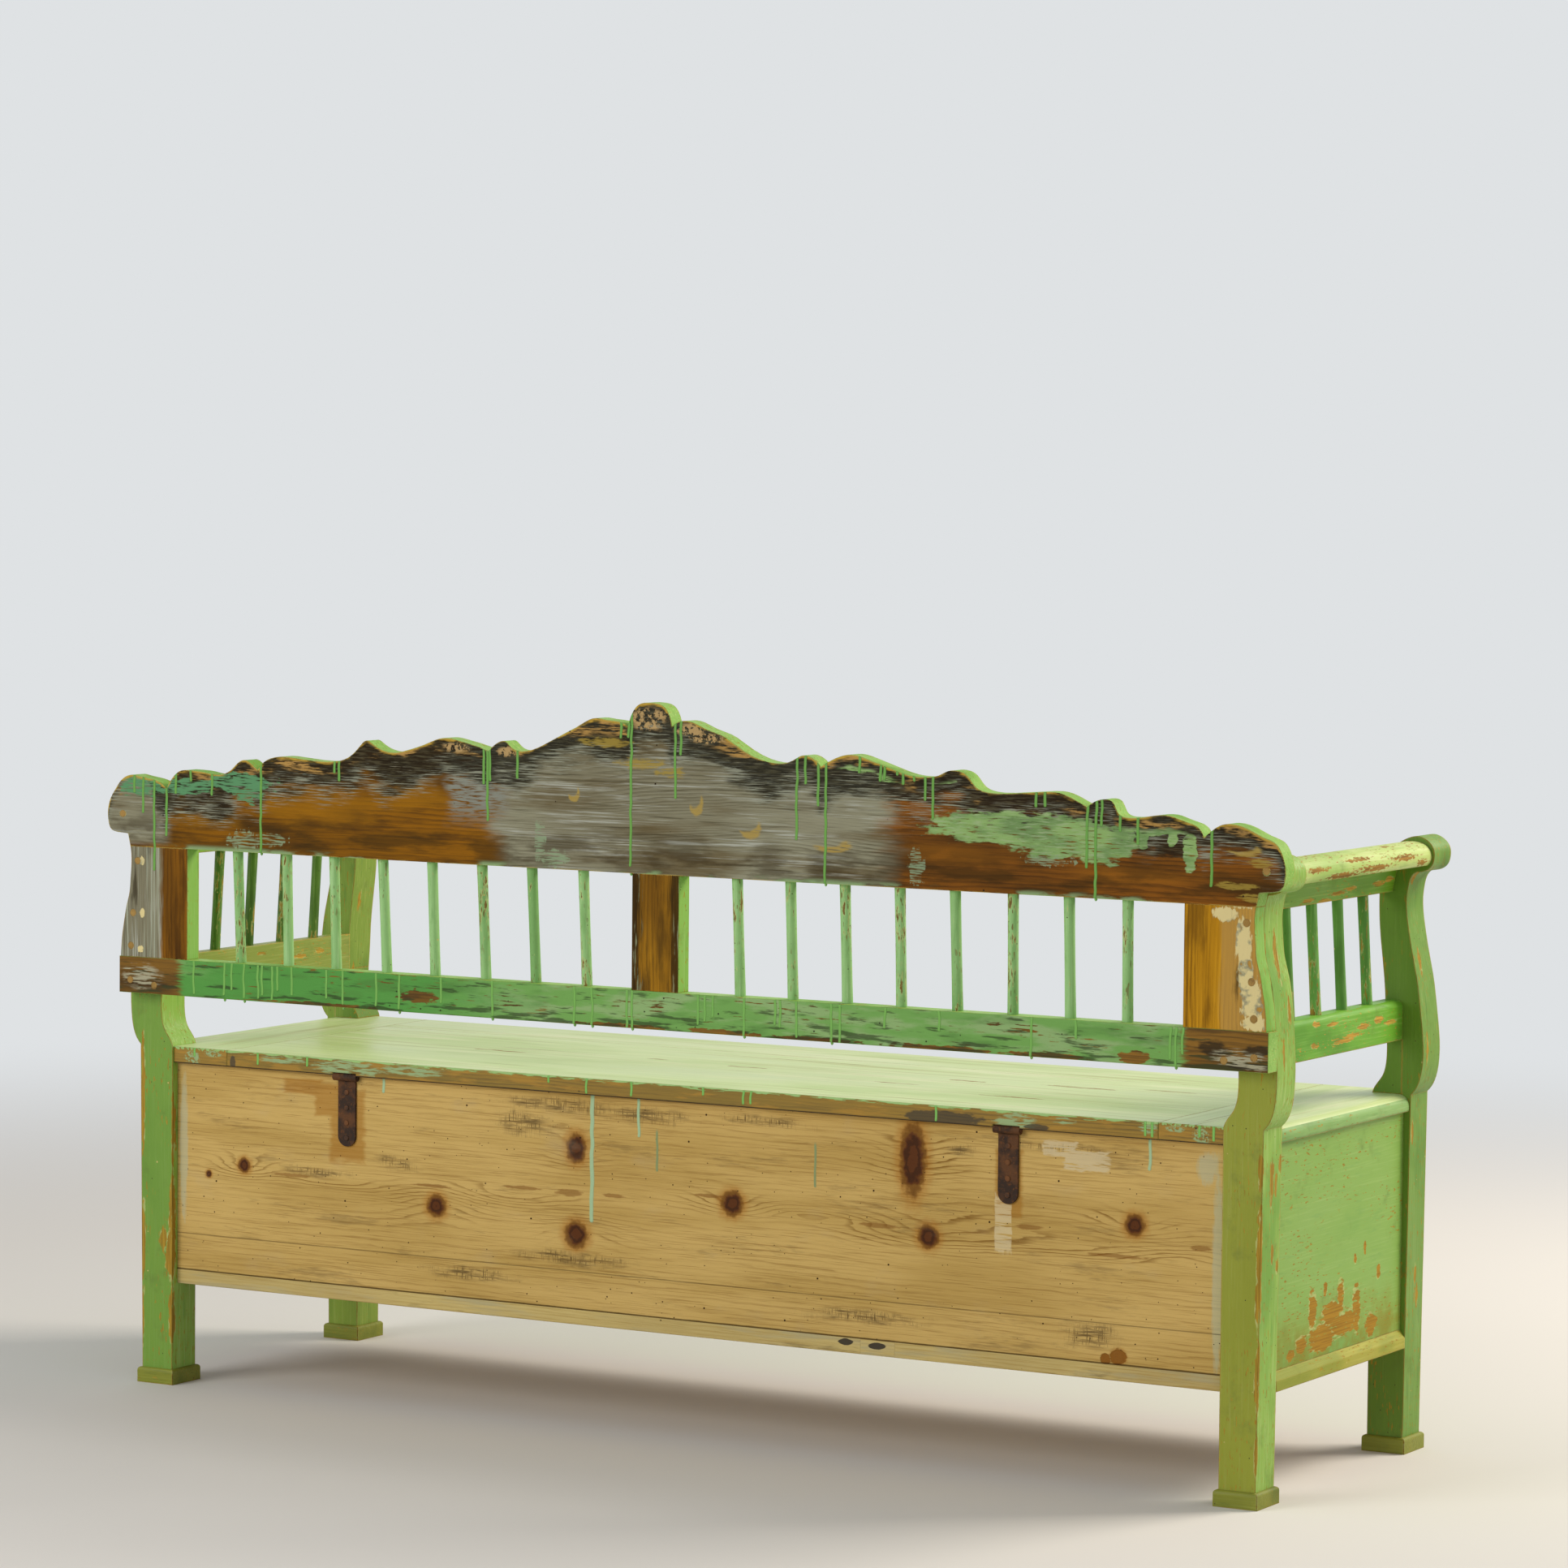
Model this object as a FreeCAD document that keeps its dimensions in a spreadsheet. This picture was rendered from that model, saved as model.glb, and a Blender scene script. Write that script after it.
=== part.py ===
import FreeCAD, Part
import os
import re

# Swedish pull-out bench bed: a settle with a scrolled back frame, two arms, a box seat with
# a hinged lid, and a bed box that slides out to the front and stands on two folding props.
# Millimetres, +Z up, the front toward -Y. The origin lies on the floor under the middle of
# the bench. Left is -X, as seen by someone who stands in front of it.

SIZES = {
    # Overall
    "half_span": 900.0,
    "frame_depth": 532.0,
    "seat_top": 497.2,
    "back_thickness": 28.5,
    # Legs and their posts
    "leg_width": 54.5,
    "leg_depth": 57.0,
    "leg_foot_inset": 1.5,
    "leg_flare": 3.0,
    "cheek_thickness": 43.5,
    # Foot mouldings
    "foot_height": 22.3,
    "foot_projection": 5.5,
    "foot_round": 4.8,
    # Ends of the box
    "end_recess": 7.5,
    "end_panel_thickness": 18.0,
    "end_rail_bottom": 146.7,
    "end_rail_height": 25.3,
    "end_rail_chamfer": 11.0,
    # Back of the box
    "box_back_recess": 12.8,
    "box_back_thickness": 20.0,
    "ledger_bottom": 148.0,
    "ledger_height": 21.0,
    "ledger_joint": 301.0,
    "ledger_patch_length": 53.0,
    "lower_board_height": 54.0,
    # Seat
    "seat_thickness": 23.7,
    "seat_clearance": 0.3,
    "seat_end_reach": 95.0,
    "seat_end_overhang": 1.0,
    "seat_rear_inset": 3.0,
    "seat_nosing": 11.0,
    "seat_end_nosing": 16.0,
    "seat_end_lower_nosing": 4.0,
    "lid_gap": 0.5,
    "lid_front_width": 125.5,
    "lid_cleat_height": 18.5,
    "lid_cleat_width": 60.0,
    "lid_cleat_inset": 150.0,
    "lid_cleat_front_gap": 42.5,
    "lid_cleat_rear_gap": 6.7,
    # Floor of the box
    "box_floor_top": 218.0,
    "box_floor_thickness": 15.0,
    "floor_cleat_height": 20.0,
    "floor_cleat_reach": 49.5,
    "floor_cleat_thickness": 20.0,
    # Arms
    "arm_gap": 75.3,
    "lower_arm_rail_height": 54.5,
    "lower_arm_rail_inset": 11.0,
    "lower_arm_rail_thickness": 27.0,
    "lower_arm_rail_round": 9.0,
    "arm_spindle_length": 148.5,
    "arm_spindle_foot_inset": 16.5,
    "arm_spindle_head_inset": 36.5,
    "upper_arm_rail_inset": 29.0,
    "upper_arm_rail_thickness": 20.0,
    "upper_arm_rail_height": 38.0,
    "upper_arm_rail_lean": 8.0,
    "arm_roll_overhang": 28.0,
    "arm_roll_width": 72.0,
    "arm_roll_height": 32.5,
    "post_rise": 7.0,
    # Back frame
    "back_gap": 77.8,
    "back_rail_height": 53.0,
    "back_rail_overhang": 21.0,
    "stile_height": 161.0,
    "stile_reach": 46.5,
    "centre_stile_width": 75.5,
    "centre_stile_offset": 5.6,
    "crest_height": 238.0,
    "crest_overhang": 42.0,
    "peg_radius": 5.0,
    "peg_depth": 22.0,
    "peg_clearance": 0.05,
    # Spindles
    "spindle_end_radius": 7.6,
    "spindle_middle_radius": 7.2,
    # Strap hinges and their screws
    "right_hinge_inset": 206.0,
    "left_hinge_inset": 225.0,
    "leaf_width": 30.0,
    "leaf_thickness": 3.0,
    "leaf_fit": 0.3,
    "strap_length": 100.0,
    "lid_leaf_length": 116.0,
    "knuckle_radius": 5.5,
    "knuckle_clearance": 0.7,
    "barrel_width": 40.0,
    "lid_knuckle_width": 14.0,
    "knuckle_gap": 0.3,
    "pin_radius": 2.5,
    "pin_clearance": 0.05,
    "pin_overhang": 1.5,
    "screw_radius": 2.0,
    "screw_head_radius": 4.0,
    "screw_head_height": 1.6,
    "screw_head_round": 1.3,
    "screw_length": 15.0,
    "screw_clearance": 0.05,
    "strap_screw_start": 12.0,
    "strap_screw_pitch": 22.0,
    "leaf_screw_start": 20.0,
    "leaf_screw_pitch": 30.0,
    # Pull-out bed
    "bed_side_clearance": 2.5,
    "bed_front_thickness": 22.0,
    "bed_front_inset": 4.0,
    "bed_front_bottom": 140.0,
    "bed_side_thickness": 20.0,
    "bed_rail_thickness": 20.0,
    "bed_board_thickness": 16.0,
    "slide_clearance": 3.0,
    "runner_bottom": 148.0,
    "runner_thickness": 12.0,
    "runner_lip": 7.0,
    "runner_gap": 0.3,
    "ear_depth": 45.0,
    "ear_height": 230.0,
    "ear_clearance": 11.5,
    # Folding props
    "prop_inset": 42.0,
    "prop_pivot_height": 161.0,
    "prop_width": 38.0,
    "prop_thickness": 22.0,
    "prop_gap": 0.5,
    "prop_floor_gap": 0.5,
    "prop_pin_radius": 4.0,
    "prop_pin_depth": 12.0,
    "prop_pin_head_radius": 8.0,
    "prop_pin_head_thickness": 3.0,
    "prop_rail_gap": 3.5,
    # Worn edges of the straight boards
    "board_edge_round": 1.5,
    # Length by which a cutting piece runs past what it cuts
    "overrun": 2.0,
}

# How many of each row of like pieces there are: spindles in one arm, boards in a floor, screws
# in one leaf of a hinge.

COUNTS = {
    "arm_spindles": 4,
    "box_floor_boards": 3,
    "bed_boards": 12,
    "strap_screws": 4,
    "leaf_screws": 3,
}

DERIVED = {
    # Across the bench
    "leg_inner": "half_span - leg_width",
    "leg_foot_outer": "half_span - leg_foot_inset",
    "leg_seat_outer": "half_span + leg_flare",
    "cheek_outer": "leg_inner + cheek_thickness",
    "end_outer": "half_span - end_recess",
    "end_inner": "end_outer - end_panel_thickness",
    "seat_end_inner": "leg_inner - seat_end_reach",
    "lid_half": "seat_end_inner - lid_gap",
    "lid_cleat_spacing": "lid_half - lid_cleat_inset",
    "right_hinge_place": "lid_half - right_hinge_inset",
    "left_hinge_place": "lid_half - left_hinge_inset",
    "stile_inner": "leg_inner - stile_reach",
    "crest_reach": "half_span + crest_overhang",
    "back_rail_half": "half_span + back_rail_overhang",
    "lower_arm_outer": "half_span - lower_arm_rail_inset",
    "arm_roll_outer": "half_span + arm_roll_overhang",
    "bed_half": "leg_inner - bed_side_clearance",
    "bed_side_outer": "end_inner - floor_cleat_reach - slide_clearance",
    "bed_side_inner": "bed_side_outer - bed_side_thickness",
    "prop_place": "bed_side_inner - prop_inset",
    # Front to back
    "front_face": "(foot_projection - frame_depth - back_thickness) / 2",
    "rear_face": "front_face + frame_depth",
    "back_face": "rear_face + back_thickness",
    "front_leg_rear": "front_face + leg_depth",
    "rear_leg_front": "rear_face - leg_depth",
    "seat_rear": "rear_face - seat_rear_inset",
    "lid_joint": "front_face + lid_front_width",
    "box_back_rear": "rear_face - box_back_recess",
    "box_back_front": "box_back_rear - box_back_thickness",
    "bed_front_face": "front_face + bed_front_inset",
    "bed_front_rear": "bed_front_face + bed_front_thickness",
    "bed_rear": "box_back_front - floor_cleat_thickness - slide_clearance",
    "box_floor_front": "bed_front_rear + ear_depth + ear_clearance",
    "prop_front": "bed_front_rear + prop_gap",
    "prop_rear": "prop_front + prop_thickness",
    "prop_head_front": "prop_rear + prop_gap",
    "prop_head_rear": "prop_head_front + prop_pin_head_thickness",
    "bed_rail_front": "prop_head_rear + prop_rail_gap",
    # Heights
    "seat_underside": "seat_top - seat_thickness",
    "box_top": "seat_underside - seat_clearance",
    "end_rail_top": "end_rail_bottom + end_rail_height",
    "ledger_top": "ledger_bottom + ledger_height",
    "lower_board_top": "ledger_top + lower_board_height",
    "lower_arm_bottom": "seat_top + arm_gap",
    "lower_arm_top": "lower_arm_bottom + lower_arm_rail_height",
    "upper_arm_bottom": "lower_arm_top + arm_spindle_length",
    "upper_arm_top": "upper_arm_bottom + upper_arm_rail_height",
    "post_height": "upper_arm_top + arm_roll_height + post_rise - seat_top",
    "back_rail_bottom": "seat_top + back_gap",
    "back_rail_top": "back_rail_bottom + back_rail_height",
    "crest_bottom": "back_rail_top + stile_height",
    "box_floor_bottom": "box_floor_top - box_floor_thickness",
    "runner_top": "runner_bottom + runner_thickness",
    "bed_bottom": "runner_top + runner_gap",
    "bed_board_top": "box_floor_bottom - slide_clearance",
    "bed_board_bottom": "bed_board_top - bed_board_thickness",
    # Hinge axis
    "hinge_line": "box_back_rear + knuckle_radius",
    "hinge_height": "seat_underside - knuckle_radius + leaf_thickness",
    "knuckle_reach": "knuckle_radius + knuckle_clearance",
    "pin_bore_radius": "pin_radius + pin_clearance",
    "screw_hole_radius": "screw_radius + screw_clearance",
    "peg_hole_radius": "peg_radius + peg_clearance",
    "prop_bore_radius": "prop_pin_radius + pin_clearance",
}

SIDES = {"left": -1, "right": 1}
WORD = re.compile(r"[a-z][a-z_]*")

doc = FreeCAD.newDocument("PullOutBenchBed")
sheet = doc.addObject("Spreadsheet::Sheet", "Sizes")
subparts = []


def fill_sheet():
    """Write the driving sizes as plain numbers, and the sizes worked out from them as formulas."""
    row = 1
    for alias, value in SIZES.items():
        sheet.set(f"A{row}", alias)
        sheet.set(f"B{row}", str(value))
        sheet.setAlias(f"B{row}", alias)
        row += 1
    for alias, formula in DERIVED.items():
        sheet.set(f"A{row}", alias)
        sheet.set(f"B{row}", "=" + formula)
        sheet.setAlias(f"B{row}", alias)
        row += 1
    doc.recompute()


def size(alias):
    """Read one size from the sheet."""
    return float(sheet.get(alias))


def sheet_word(match):
    """Name a size with its sheet, and leave any other word as it is."""
    word = match.group()
    return "Sizes." + word if word in SIZES or word in DERIVED else word


def tie(item, prop, formula):
    """Bind one property to a formula of sheet sizes."""
    item.setExpression(prop, WORD.sub(sheet_word, formula))


def place(item, x="0", y="0", z="0"):
    """Bind an object's position to formulas of sheet sizes."""
    tie(item, "Placement.Base.x", x)
    tie(item, "Placement.Base.y", y)
    tie(item, "Placement.Base.z", z)


def keep(item, name):
    """Register a finished sub-part under the name of its file."""
    item.Label = name
    subparts.append(item)
    return item


def across(side, inner, outer):
    """Give a stretch of X on one side of the bench, low end first."""
    if side > 0:
        return (inner, outer)
    return (f"-({outer})", f"-({inner})")


def block(name, x, y, z):
    """Build a square-edged piece between two places on each axis."""
    item = doc.addObject("Part::Box", name)
    tie(item, "Length", f"({x[1]}) - ({x[0]})")
    tie(item, "Width", f"({y[1]}) - ({y[0]})")
    tie(item, "Height", f"({z[1]}) - ({z[0]})")
    place(item, x[0], y[0], z[0])
    return item


ALONG = {
    "x": FreeCAD.Rotation(FreeCAD.Vector(0, 1, 0), 90),
    "y": FreeCAD.Rotation(FreeCAD.Vector(1, 0, 0), -90),
    "z": FreeCAD.Rotation(),
}


def rod(name, axis, radius, start, length):
    """Build a cylinder from its start point along one axis."""
    item = doc.addObject("Part::Cylinder", name)
    item.Placement = FreeCAD.Placement(FreeCAD.Vector(), ALONG[axis])
    tie(item, "Radius", radius)
    tie(item, "Height", length)
    place(item, *start)
    return item


def group(name, items):
    """Hold several separate solids in one object."""
    item = doc.addObject("Part::Compound", name)
    item.Links = items
    return item


def cut(name, base, tools):
    """Take the tools away from the base."""
    item = doc.addObject("Part::Cut", name)
    item.Base = base
    item.Tool = tools[0] if len(tools) == 1 else group(name + "_tools", tools)
    return item


def fuse(name, items):
    """Join several shapes into one solid."""
    item = doc.addObject("Part::MultiFuse", name)
    item.Shapes = items
    return item


def lies_in(edge, planes):
    """Tell whether an edge lies wholly in each plane, such as {"x": 10.0, "z": 5.0}."""
    near = size("overrun") / 1000
    box = edge.BoundBox
    spans = {"x": (box.XMin, box.XMax), "y": (box.YMin, box.YMax), "z": (box.ZMin, box.ZMax)}
    return all(abs(end - at) < near for axis, at in planes.items() for end in spans[axis])


def round_edges(name, base, rounds, sharp=()):
    """Round edges of the base; each entry pairs the planes of an edge with a radius.

    Edges that lie in a plane of the sharp list, such as those at a joint, stay as they are.
    """
    doc.recompute()
    item = doc.addObject("Part::Fillet", name)
    item.Base = base
    picked = []
    for number, edge in enumerate(base.Shape.Edges, 1):
        if any(lies_in(edge, planes) for planes in sharp):
            continue
        for planes, radius in rounds:
            if lies_in(edge, planes):
                picked.append((number, radius, radius))
                break
    item.Edges = picked
    return item


def curve_through(points):
    """Join two points by a line, three by an arc, and more by a smooth curve."""
    vectors = [FreeCAD.Vector(u, v, 0) for u, v in points]
    if len(vectors) == 2:
        return Part.LineSegment(*vectors)
    if len(vectors) == 3:
        return Part.ArcOfCircle(*vectors)
    curve = Part.BSplineCurve()
    curve.interpolate(vectors)
    return curve


def origin_plane(body, role):
    """Find one of a body's own origin planes."""
    return next(feature for feature in body.Origin.OriginFeatures if feature.Role == role)


def plate(name, plane, runs, thickness):
    """Pad a closed outline, given as runs of points that each start where the last one ends."""
    body = doc.addObject("PartDesign::Body", name)
    sketch = body.newObject("Sketcher::SketchObject", name + "_outline")
    sketch.AttachmentSupport = (origin_plane(body, plane), [""])
    sketch.MapMode = "FlatFace"
    for run in runs:
        sketch.addGeometry(curve_through(run), False)
    pad = body.newObject("PartDesign::Pad", name + "_pad")
    pad.Profile = sketch
    tie(pad, "Length", thickness)
    body.Tip = pad
    return body


def closed_runs(runs):
    """Add the straight runs that join the given runs, one after another, into a closed outline."""
    joined = []
    for index, run in enumerate(runs):
        joined.append(run)
        following = runs[(index + 1) % len(runs)][0]
        if run[-1] != following:
            joined.append([run[-1], following])
    return joined


def polygon(corners):
    """Give the straight runs of an outline from its corners."""
    return [[corner, corners[(index + 1) % len(corners)]] for index, corner in enumerate(corners)]


# Post outlines. Across: shares of the leg's width, outward from the leg's nominal outer face.
# Up: shares of the post's height above the seat.

REAR_OUTER_SHARE = [
    (0.220, 0.033), (0.312, 0.073), (0.367, 0.134), (0.385, 0.205), (0.349, 0.323),
    (0.294, 0.441), (0.165, 0.562), (0.055, 0.626), (0.000, 0.711), (-0.018, 0.761),
    (0.018, 0.820), (0.092, 0.859),
]
FRONT_OUTER_SHARE = [
    (0.220, 0.033), (0.312, 0.073), (0.367, 0.134), (0.367, 0.205), (0.284, 0.323),
    (0.193, 0.430), (0.037, 0.545), (-0.092, 0.654), (-0.147, 0.747), (-0.105, 0.805),
    (0.000, 0.848), (0.120, 0.862),
]
HEAD_SHARE = [
    (0.312, 0.865), (0.495, 0.882), (0.587, 0.919), (0.569, 0.952), (0.385, 0.986),
    (0.128, 1.000), (-0.128, 0.992), (-0.367, 0.972), (-0.550, 0.944), (-0.734, 0.893),
    (-0.862, 0.823), (-0.890, 0.753), (-0.862, 0.640), (-0.771, 0.514), (-0.697, 0.401),
    (-0.661, 0.289), (-0.624, 0.205), (-0.624, 0.143), (-0.661, 0.098), (-0.734, 0.067),
    (-0.881, 0.036),
]


def post_point(side, share):
    """Turn a share pair of the post outline into a place on one side of the bench."""
    across_at = size("half_span") + share[0] * size("leg_width")
    return (side * across_at, size("seat_top") + share[1] * size("post_height"))


def leg_blank(name, side, outer_share, rear):
    """Saw one leg with its post and head from a single plank."""
    inner = side * size("leg_inner")
    foot = side * size("leg_foot_outer")
    flared = (side * size("leg_seat_outer"), size("seat_top"))
    shoulder = (inner, size("seat_top"))
    outer = [flared] + [post_point(side, share) for share in outer_share]
    head = [outer[-1]] + [post_point(side, share) for share in HEAD_SHARE] + [shoulder]
    foot_run = [shoulder, (inner, 0), (foot, 0), (foot, size("foot_height")), flared]
    runs = [outer, head] + [list(pair) for pair in zip(foot_run, foot_run[1:])]
    body = plate(name, "XZ_Plane", runs, "leg_depth")
    place(body, y=rear)
    return body


def make_front_leg(side_name, side):
    """Make a front leg and the cheek glued into it between the seat and the lower arm rail."""
    blank = leg_blank(f"{side_name}_front_leg_blank", side, FRONT_OUTER_SHARE, "front_leg_rear")
    y = ("front_face - overrun", "front_leg_rear + overrun")
    z = ("seat_top", "lower_arm_bottom")
    x = across(side, "leg_inner - overrun", "cheek_outer")
    taken = block(f"{side_name}_cheek_space", x, y, z)
    keep(cut(f"{side_name}_front_leg", blank, [taken]), f"{side_name}_front_leg")
    cheek = doc.addObject("Part::Common", f"{side_name}_front_post_cheek")
    cheek.Base = blank
    cheek.Tool = taken
    keep(cheek, f"{side_name}_front_post_cheek")


# Pegs of the back frame: the piece they go through, their place across as a share of the leg's
# width outward from its nominal face, and their place up as a share of that piece's height.

PEG_SHARE = {
    "crest": [(0.275, 0.197)],
    "stile": [(-0.220, 0.870), (-0.073, 0.398), (0.000, 0.100)],
    "rail": [(0.018, 0.358)],
}
SHORT_PEG_SHARE = (-0.771, 0.245)
PEG_SPANS = {
    "crest": ("crest_bottom", "crest_height"),
    "stile": ("back_rail_top", "stile_height"),
    "rail": ("back_rail_bottom", "back_rail_height"),
}


def peg_rod(name, side, piece, share, radius, extra, depth):
    """Make a peg, or the hole for one, from the back face toward the front."""
    bottom, height = PEG_SPANS[piece]
    x = f"{side} * (half_span + {share[0]} * leg_width)"
    z = f"{bottom} + {share[1]} * {height}"
    length = f"{depth} + {extra}"
    return rod(name, "y", radius, (x, f"back_face + {extra} - ({length})", z), length)


def peg_holes(name, side, pieces):
    """Make the holes of the pegs that go through the named pieces and into the post."""
    depth = "back_thickness + peg_depth + peg_clearance"
    return [
        peg_rod(f"{name}_{piece}_hole_{index}", side, piece, share, "peg_hole_radius", "overrun", depth)
        for piece in pieces
        for index, share in enumerate(PEG_SHARE[piece])
    ]


def short_peg_hole(name, side):
    """Make the hole of the peg that only plugs the bottom rail."""
    depth = "back_thickness + overrun"
    return peg_rod(name, side, "rail", SHORT_PEG_SHARE, "peg_hole_radius", "overrun", depth)


def make_rear_leg(side_name, side):
    """Make a rear leg with the holes for the pegs of the back frame."""
    name = f"{side_name}_rear_leg"
    blank = leg_blank(name + "_blank", side, REAR_OUTER_SHARE, "rear_face")
    keep(cut(name, blank, peg_holes(name, side, PEG_SHARE)), name)


# How far each strip of a foot moulding is turned from the front one, in degrees.

STRIP_TURN = {"front": 0, "right": 90, "rear": 180, "left": 270}


def make_foot_moulding(name, x, y):
    """Make the four mitred strips round the foot of a leg that spans x and y."""
    projection = size("foot_projection")
    height = size("foot_height")
    low_x, high_x = x
    low_y, high_y = y
    along_x = f"({high_x}) - ({low_x})"
    along_y = f"({high_y}) - ({low_y})"
    strips = {
        "front": (low_x, f"({low_y}) - foot_projection", along_x),
        "right": (f"({high_x}) + foot_projection", low_y, along_y),
        "rear": (high_x, f"({high_y}) + foot_projection", along_x),
        "left": (f"({low_x}) - foot_projection", high_y, along_y),
    }
    rounded = []
    for face, (start_x, start_y, length) in strips.items():
        strip = doc.addObject("Part::Wedge", f"{name}_strip_{face}")
        turned = FreeCAD.Rotation(FreeCAD.Vector(0, 0, 1), STRIP_TURN[face])
        strip.Placement = FreeCAD.Placement(FreeCAD.Vector(), turned)
        tie(strip, "Xmin", "-foot_projection")
        tie(strip, "Xmax", f"{length} + foot_projection")
        tie(strip, "X2min", "0")
        tie(strip, "X2max", length)
        tie(strip, "Ymin", "0")
        tie(strip, "Ymax", "foot_projection")
        tie(strip, "Zmin", "0")
        tie(strip, "Zmax", "foot_height")
        tie(strip, "Z2min", "0")
        tie(strip, "Z2max", "foot_height")
        place(strip, start_x, start_y)
        doc.recompute()
        box = strip.Shape.BoundBox
        outer = {
            "front": {"y": box.YMin},
            "right": {"x": box.XMax},
            "rear": {"y": box.YMax},
            "left": {"x": box.XMin},
        }
        planes = {**outer[face], "z": height}
        radius = min(size("foot_round"), projection)
        rounded.append(round_edges(f"{name}_round_{face}", strip, [(planes, radius)]))
    keep(group(name, rounded), name)


def make_foot_mouldings(side_name, side):
    """Make the mouldings of the two feet at one end."""
    x = across(side, "leg_inner", "leg_foot_outer")
    make_foot_moulding(f"{side_name}_front_foot_moulding", x, ("front_face", "front_leg_rear"))
    make_foot_moulding(f"{side_name}_rear_foot_moulding", x, ("rear_leg_front", "rear_face"))


def make_end(side_name, side):
    """Make the panel and the chamfered bottom rail between the two legs of one end."""
    y = ("front_leg_rear", "rear_leg_front")
    panel_z = ("end_rail_top", "seat_underside")
    panel = block(f"{side_name}_end_panel", across(side, "end_inner", "end_outer"), y, panel_z)
    keep(panel, f"{side_name}_end_panel")
    top = size("end_rail_top")
    corners = [
        (side * size("end_inner"), size("end_rail_bottom")),
        (side * size("half_span"), size("end_rail_bottom")),
        (side * size("half_span"), top - size("end_rail_chamfer")),
        (side * size("end_outer"), top),
        (side * size("end_inner"), top),
    ]
    rail = plate(f"{side_name}_end_rail", "XZ_Plane", polygon(corners), "rear_leg_front - front_leg_rear")
    place(rail, y="rear_leg_front")
    keep(rail, f"{side_name}_end_rail")


def make_seat_end_board(side_name, side):
    """Make the fixed seat board of one end, notched round both legs."""
    name = f"{side_name}_seat_end_board"
    outer = "half_span + seat_end_overhang"
    z = ("seat_underside", "seat_top")
    blank = block(name + "_blank", across(side, "seat_end_inner", outer), ("front_face", "seat_rear"), z)
    notch_x = across(side, "leg_inner", outer + " + overrun")
    notch_z = ("seat_underside - overrun", "seat_top + overrun")
    front_y = ("front_face - overrun", "front_leg_rear")
    rear_y = ("rear_leg_front", "seat_rear + overrun")
    notches = [
        block(name + "_front_notch", notch_x, front_y, notch_z),
        block(name + "_rear_notch", notch_x, rear_y, notch_z),
    ]
    notched = cut(name + "_notched", blank, notches)
    end_at = side * (size("half_span") + size("seat_end_overhang"))
    top = size("seat_top")
    under = size("seat_underside")
    front = size("front_face")
    rounds = [
        ({"x": end_at, "z": top}, size("seat_end_nosing")),
        ({"x": end_at, "z": under}, size("seat_end_lower_nosing")),
        ({"y": front, "z": top}, size("seat_nosing")),
        ({"y": front, "z": under}, size("seat_nosing")),
    ]
    keep(round_edges(name, notched, rounds), name)


# Arm roll outline: shares of its width, from the inner edge outward, and of its height.

ARM_ROLL_SHARE = [
    (0.917, 0.000), (1.000, 0.262), (1.000, 0.508), (0.917, 0.815), (0.681, 1.000),
    (0.444, 0.969), (0.194, 0.754), (0.028, 0.385), (0.000, 0.000),
]


def spindle(name, foot, head):
    """Turn one spindle, a little thinner in the middle, between two level faces."""
    middle = tuple(f"(({low}) + ({high})) / 2" for low, high in zip(foot, head))
    rings = []
    radii = ["spindle_end_radius", "spindle_middle_radius", "spindle_end_radius"]
    for index, (centre, radius) in enumerate(zip((foot, middle, head), radii)):
        ring = doc.addObject("Part::Circle", f"{name}_ring_{index}")
        tie(ring, "Radius", radius)
        place(ring, *centre)
        rings.append(ring)
    item = doc.addObject("Part::Loft", name)
    item.Sections = rings
    item.Solid = True
    return item


def make_arm(side_name, side):
    """Make the two arm rails, the roll on top and the spindles between the rails."""
    y = ("front_leg_rear", "rear_leg_front")
    span = "rear_leg_front - front_leg_rear"

    lower_name = f"{side_name}_arm_lower_rail"
    lower_x = across(side, "lower_arm_outer - lower_arm_rail_thickness", "lower_arm_outer")
    lower = block(lower_name + "_blank", lower_x, y, ("lower_arm_bottom", "lower_arm_top"))
    planes = {"x": side * size("lower_arm_outer"), "z": size("lower_arm_top")}
    rounds = [(planes, size("lower_arm_rail_round"))]
    keep(round_edges(lower_name, lower, rounds), lower_name)

    bottom = size("upper_arm_bottom")
    top = size("upper_arm_top")
    outer = size("half_span") - size("upper_arm_rail_inset")
    inner = outer - size("upper_arm_rail_thickness")
    lean = size("upper_arm_rail_lean")
    corners = [(inner, bottom), (outer, bottom), (outer + lean, top), (inner + lean, top)]
    upper_name = f"{side_name}_arm_upper_rail"
    upper_runs = polygon([(side * x, z) for x, z in corners])
    upper = plate(upper_name, "XZ_Plane", upper_runs, span)
    place(upper, y="rear_leg_front")
    keep(upper, upper_name)

    roll_name = f"{side_name}_arm_roll"
    width = size("arm_roll_width")
    roll_inner = size("arm_roll_outer") - width
    height = size("arm_roll_height")
    curve = [(side * (roll_inner + u * width), top + v * height) for u, v in ARM_ROLL_SHARE]
    roll = plate(roll_name, "XZ_Plane", closed_runs([curve]), span)
    place(roll, y="rear_leg_front")
    keep(roll, roll_name)

    spindles = []
    foot_x = f"{side} * (lower_arm_outer - arm_spindle_foot_inset)"
    head_x = f"{side} * (half_span - arm_spindle_head_inset)"
    count = COUNTS["arm_spindles"]
    for index in range(1, count + 1):
        at = f"rear_leg_front - {index} * ({span}) / {count + 1}"
        foot = (foot_x, at, "lower_arm_top")
        head = (head_x, at, "upper_arm_bottom")
        spindles.append(spindle(f"{side_name}_arm_spindle_{index}", foot, head))
    keep(group(f"{side_name}_arm_spindles", spindles), f"{side_name}_arm_spindles")


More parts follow.
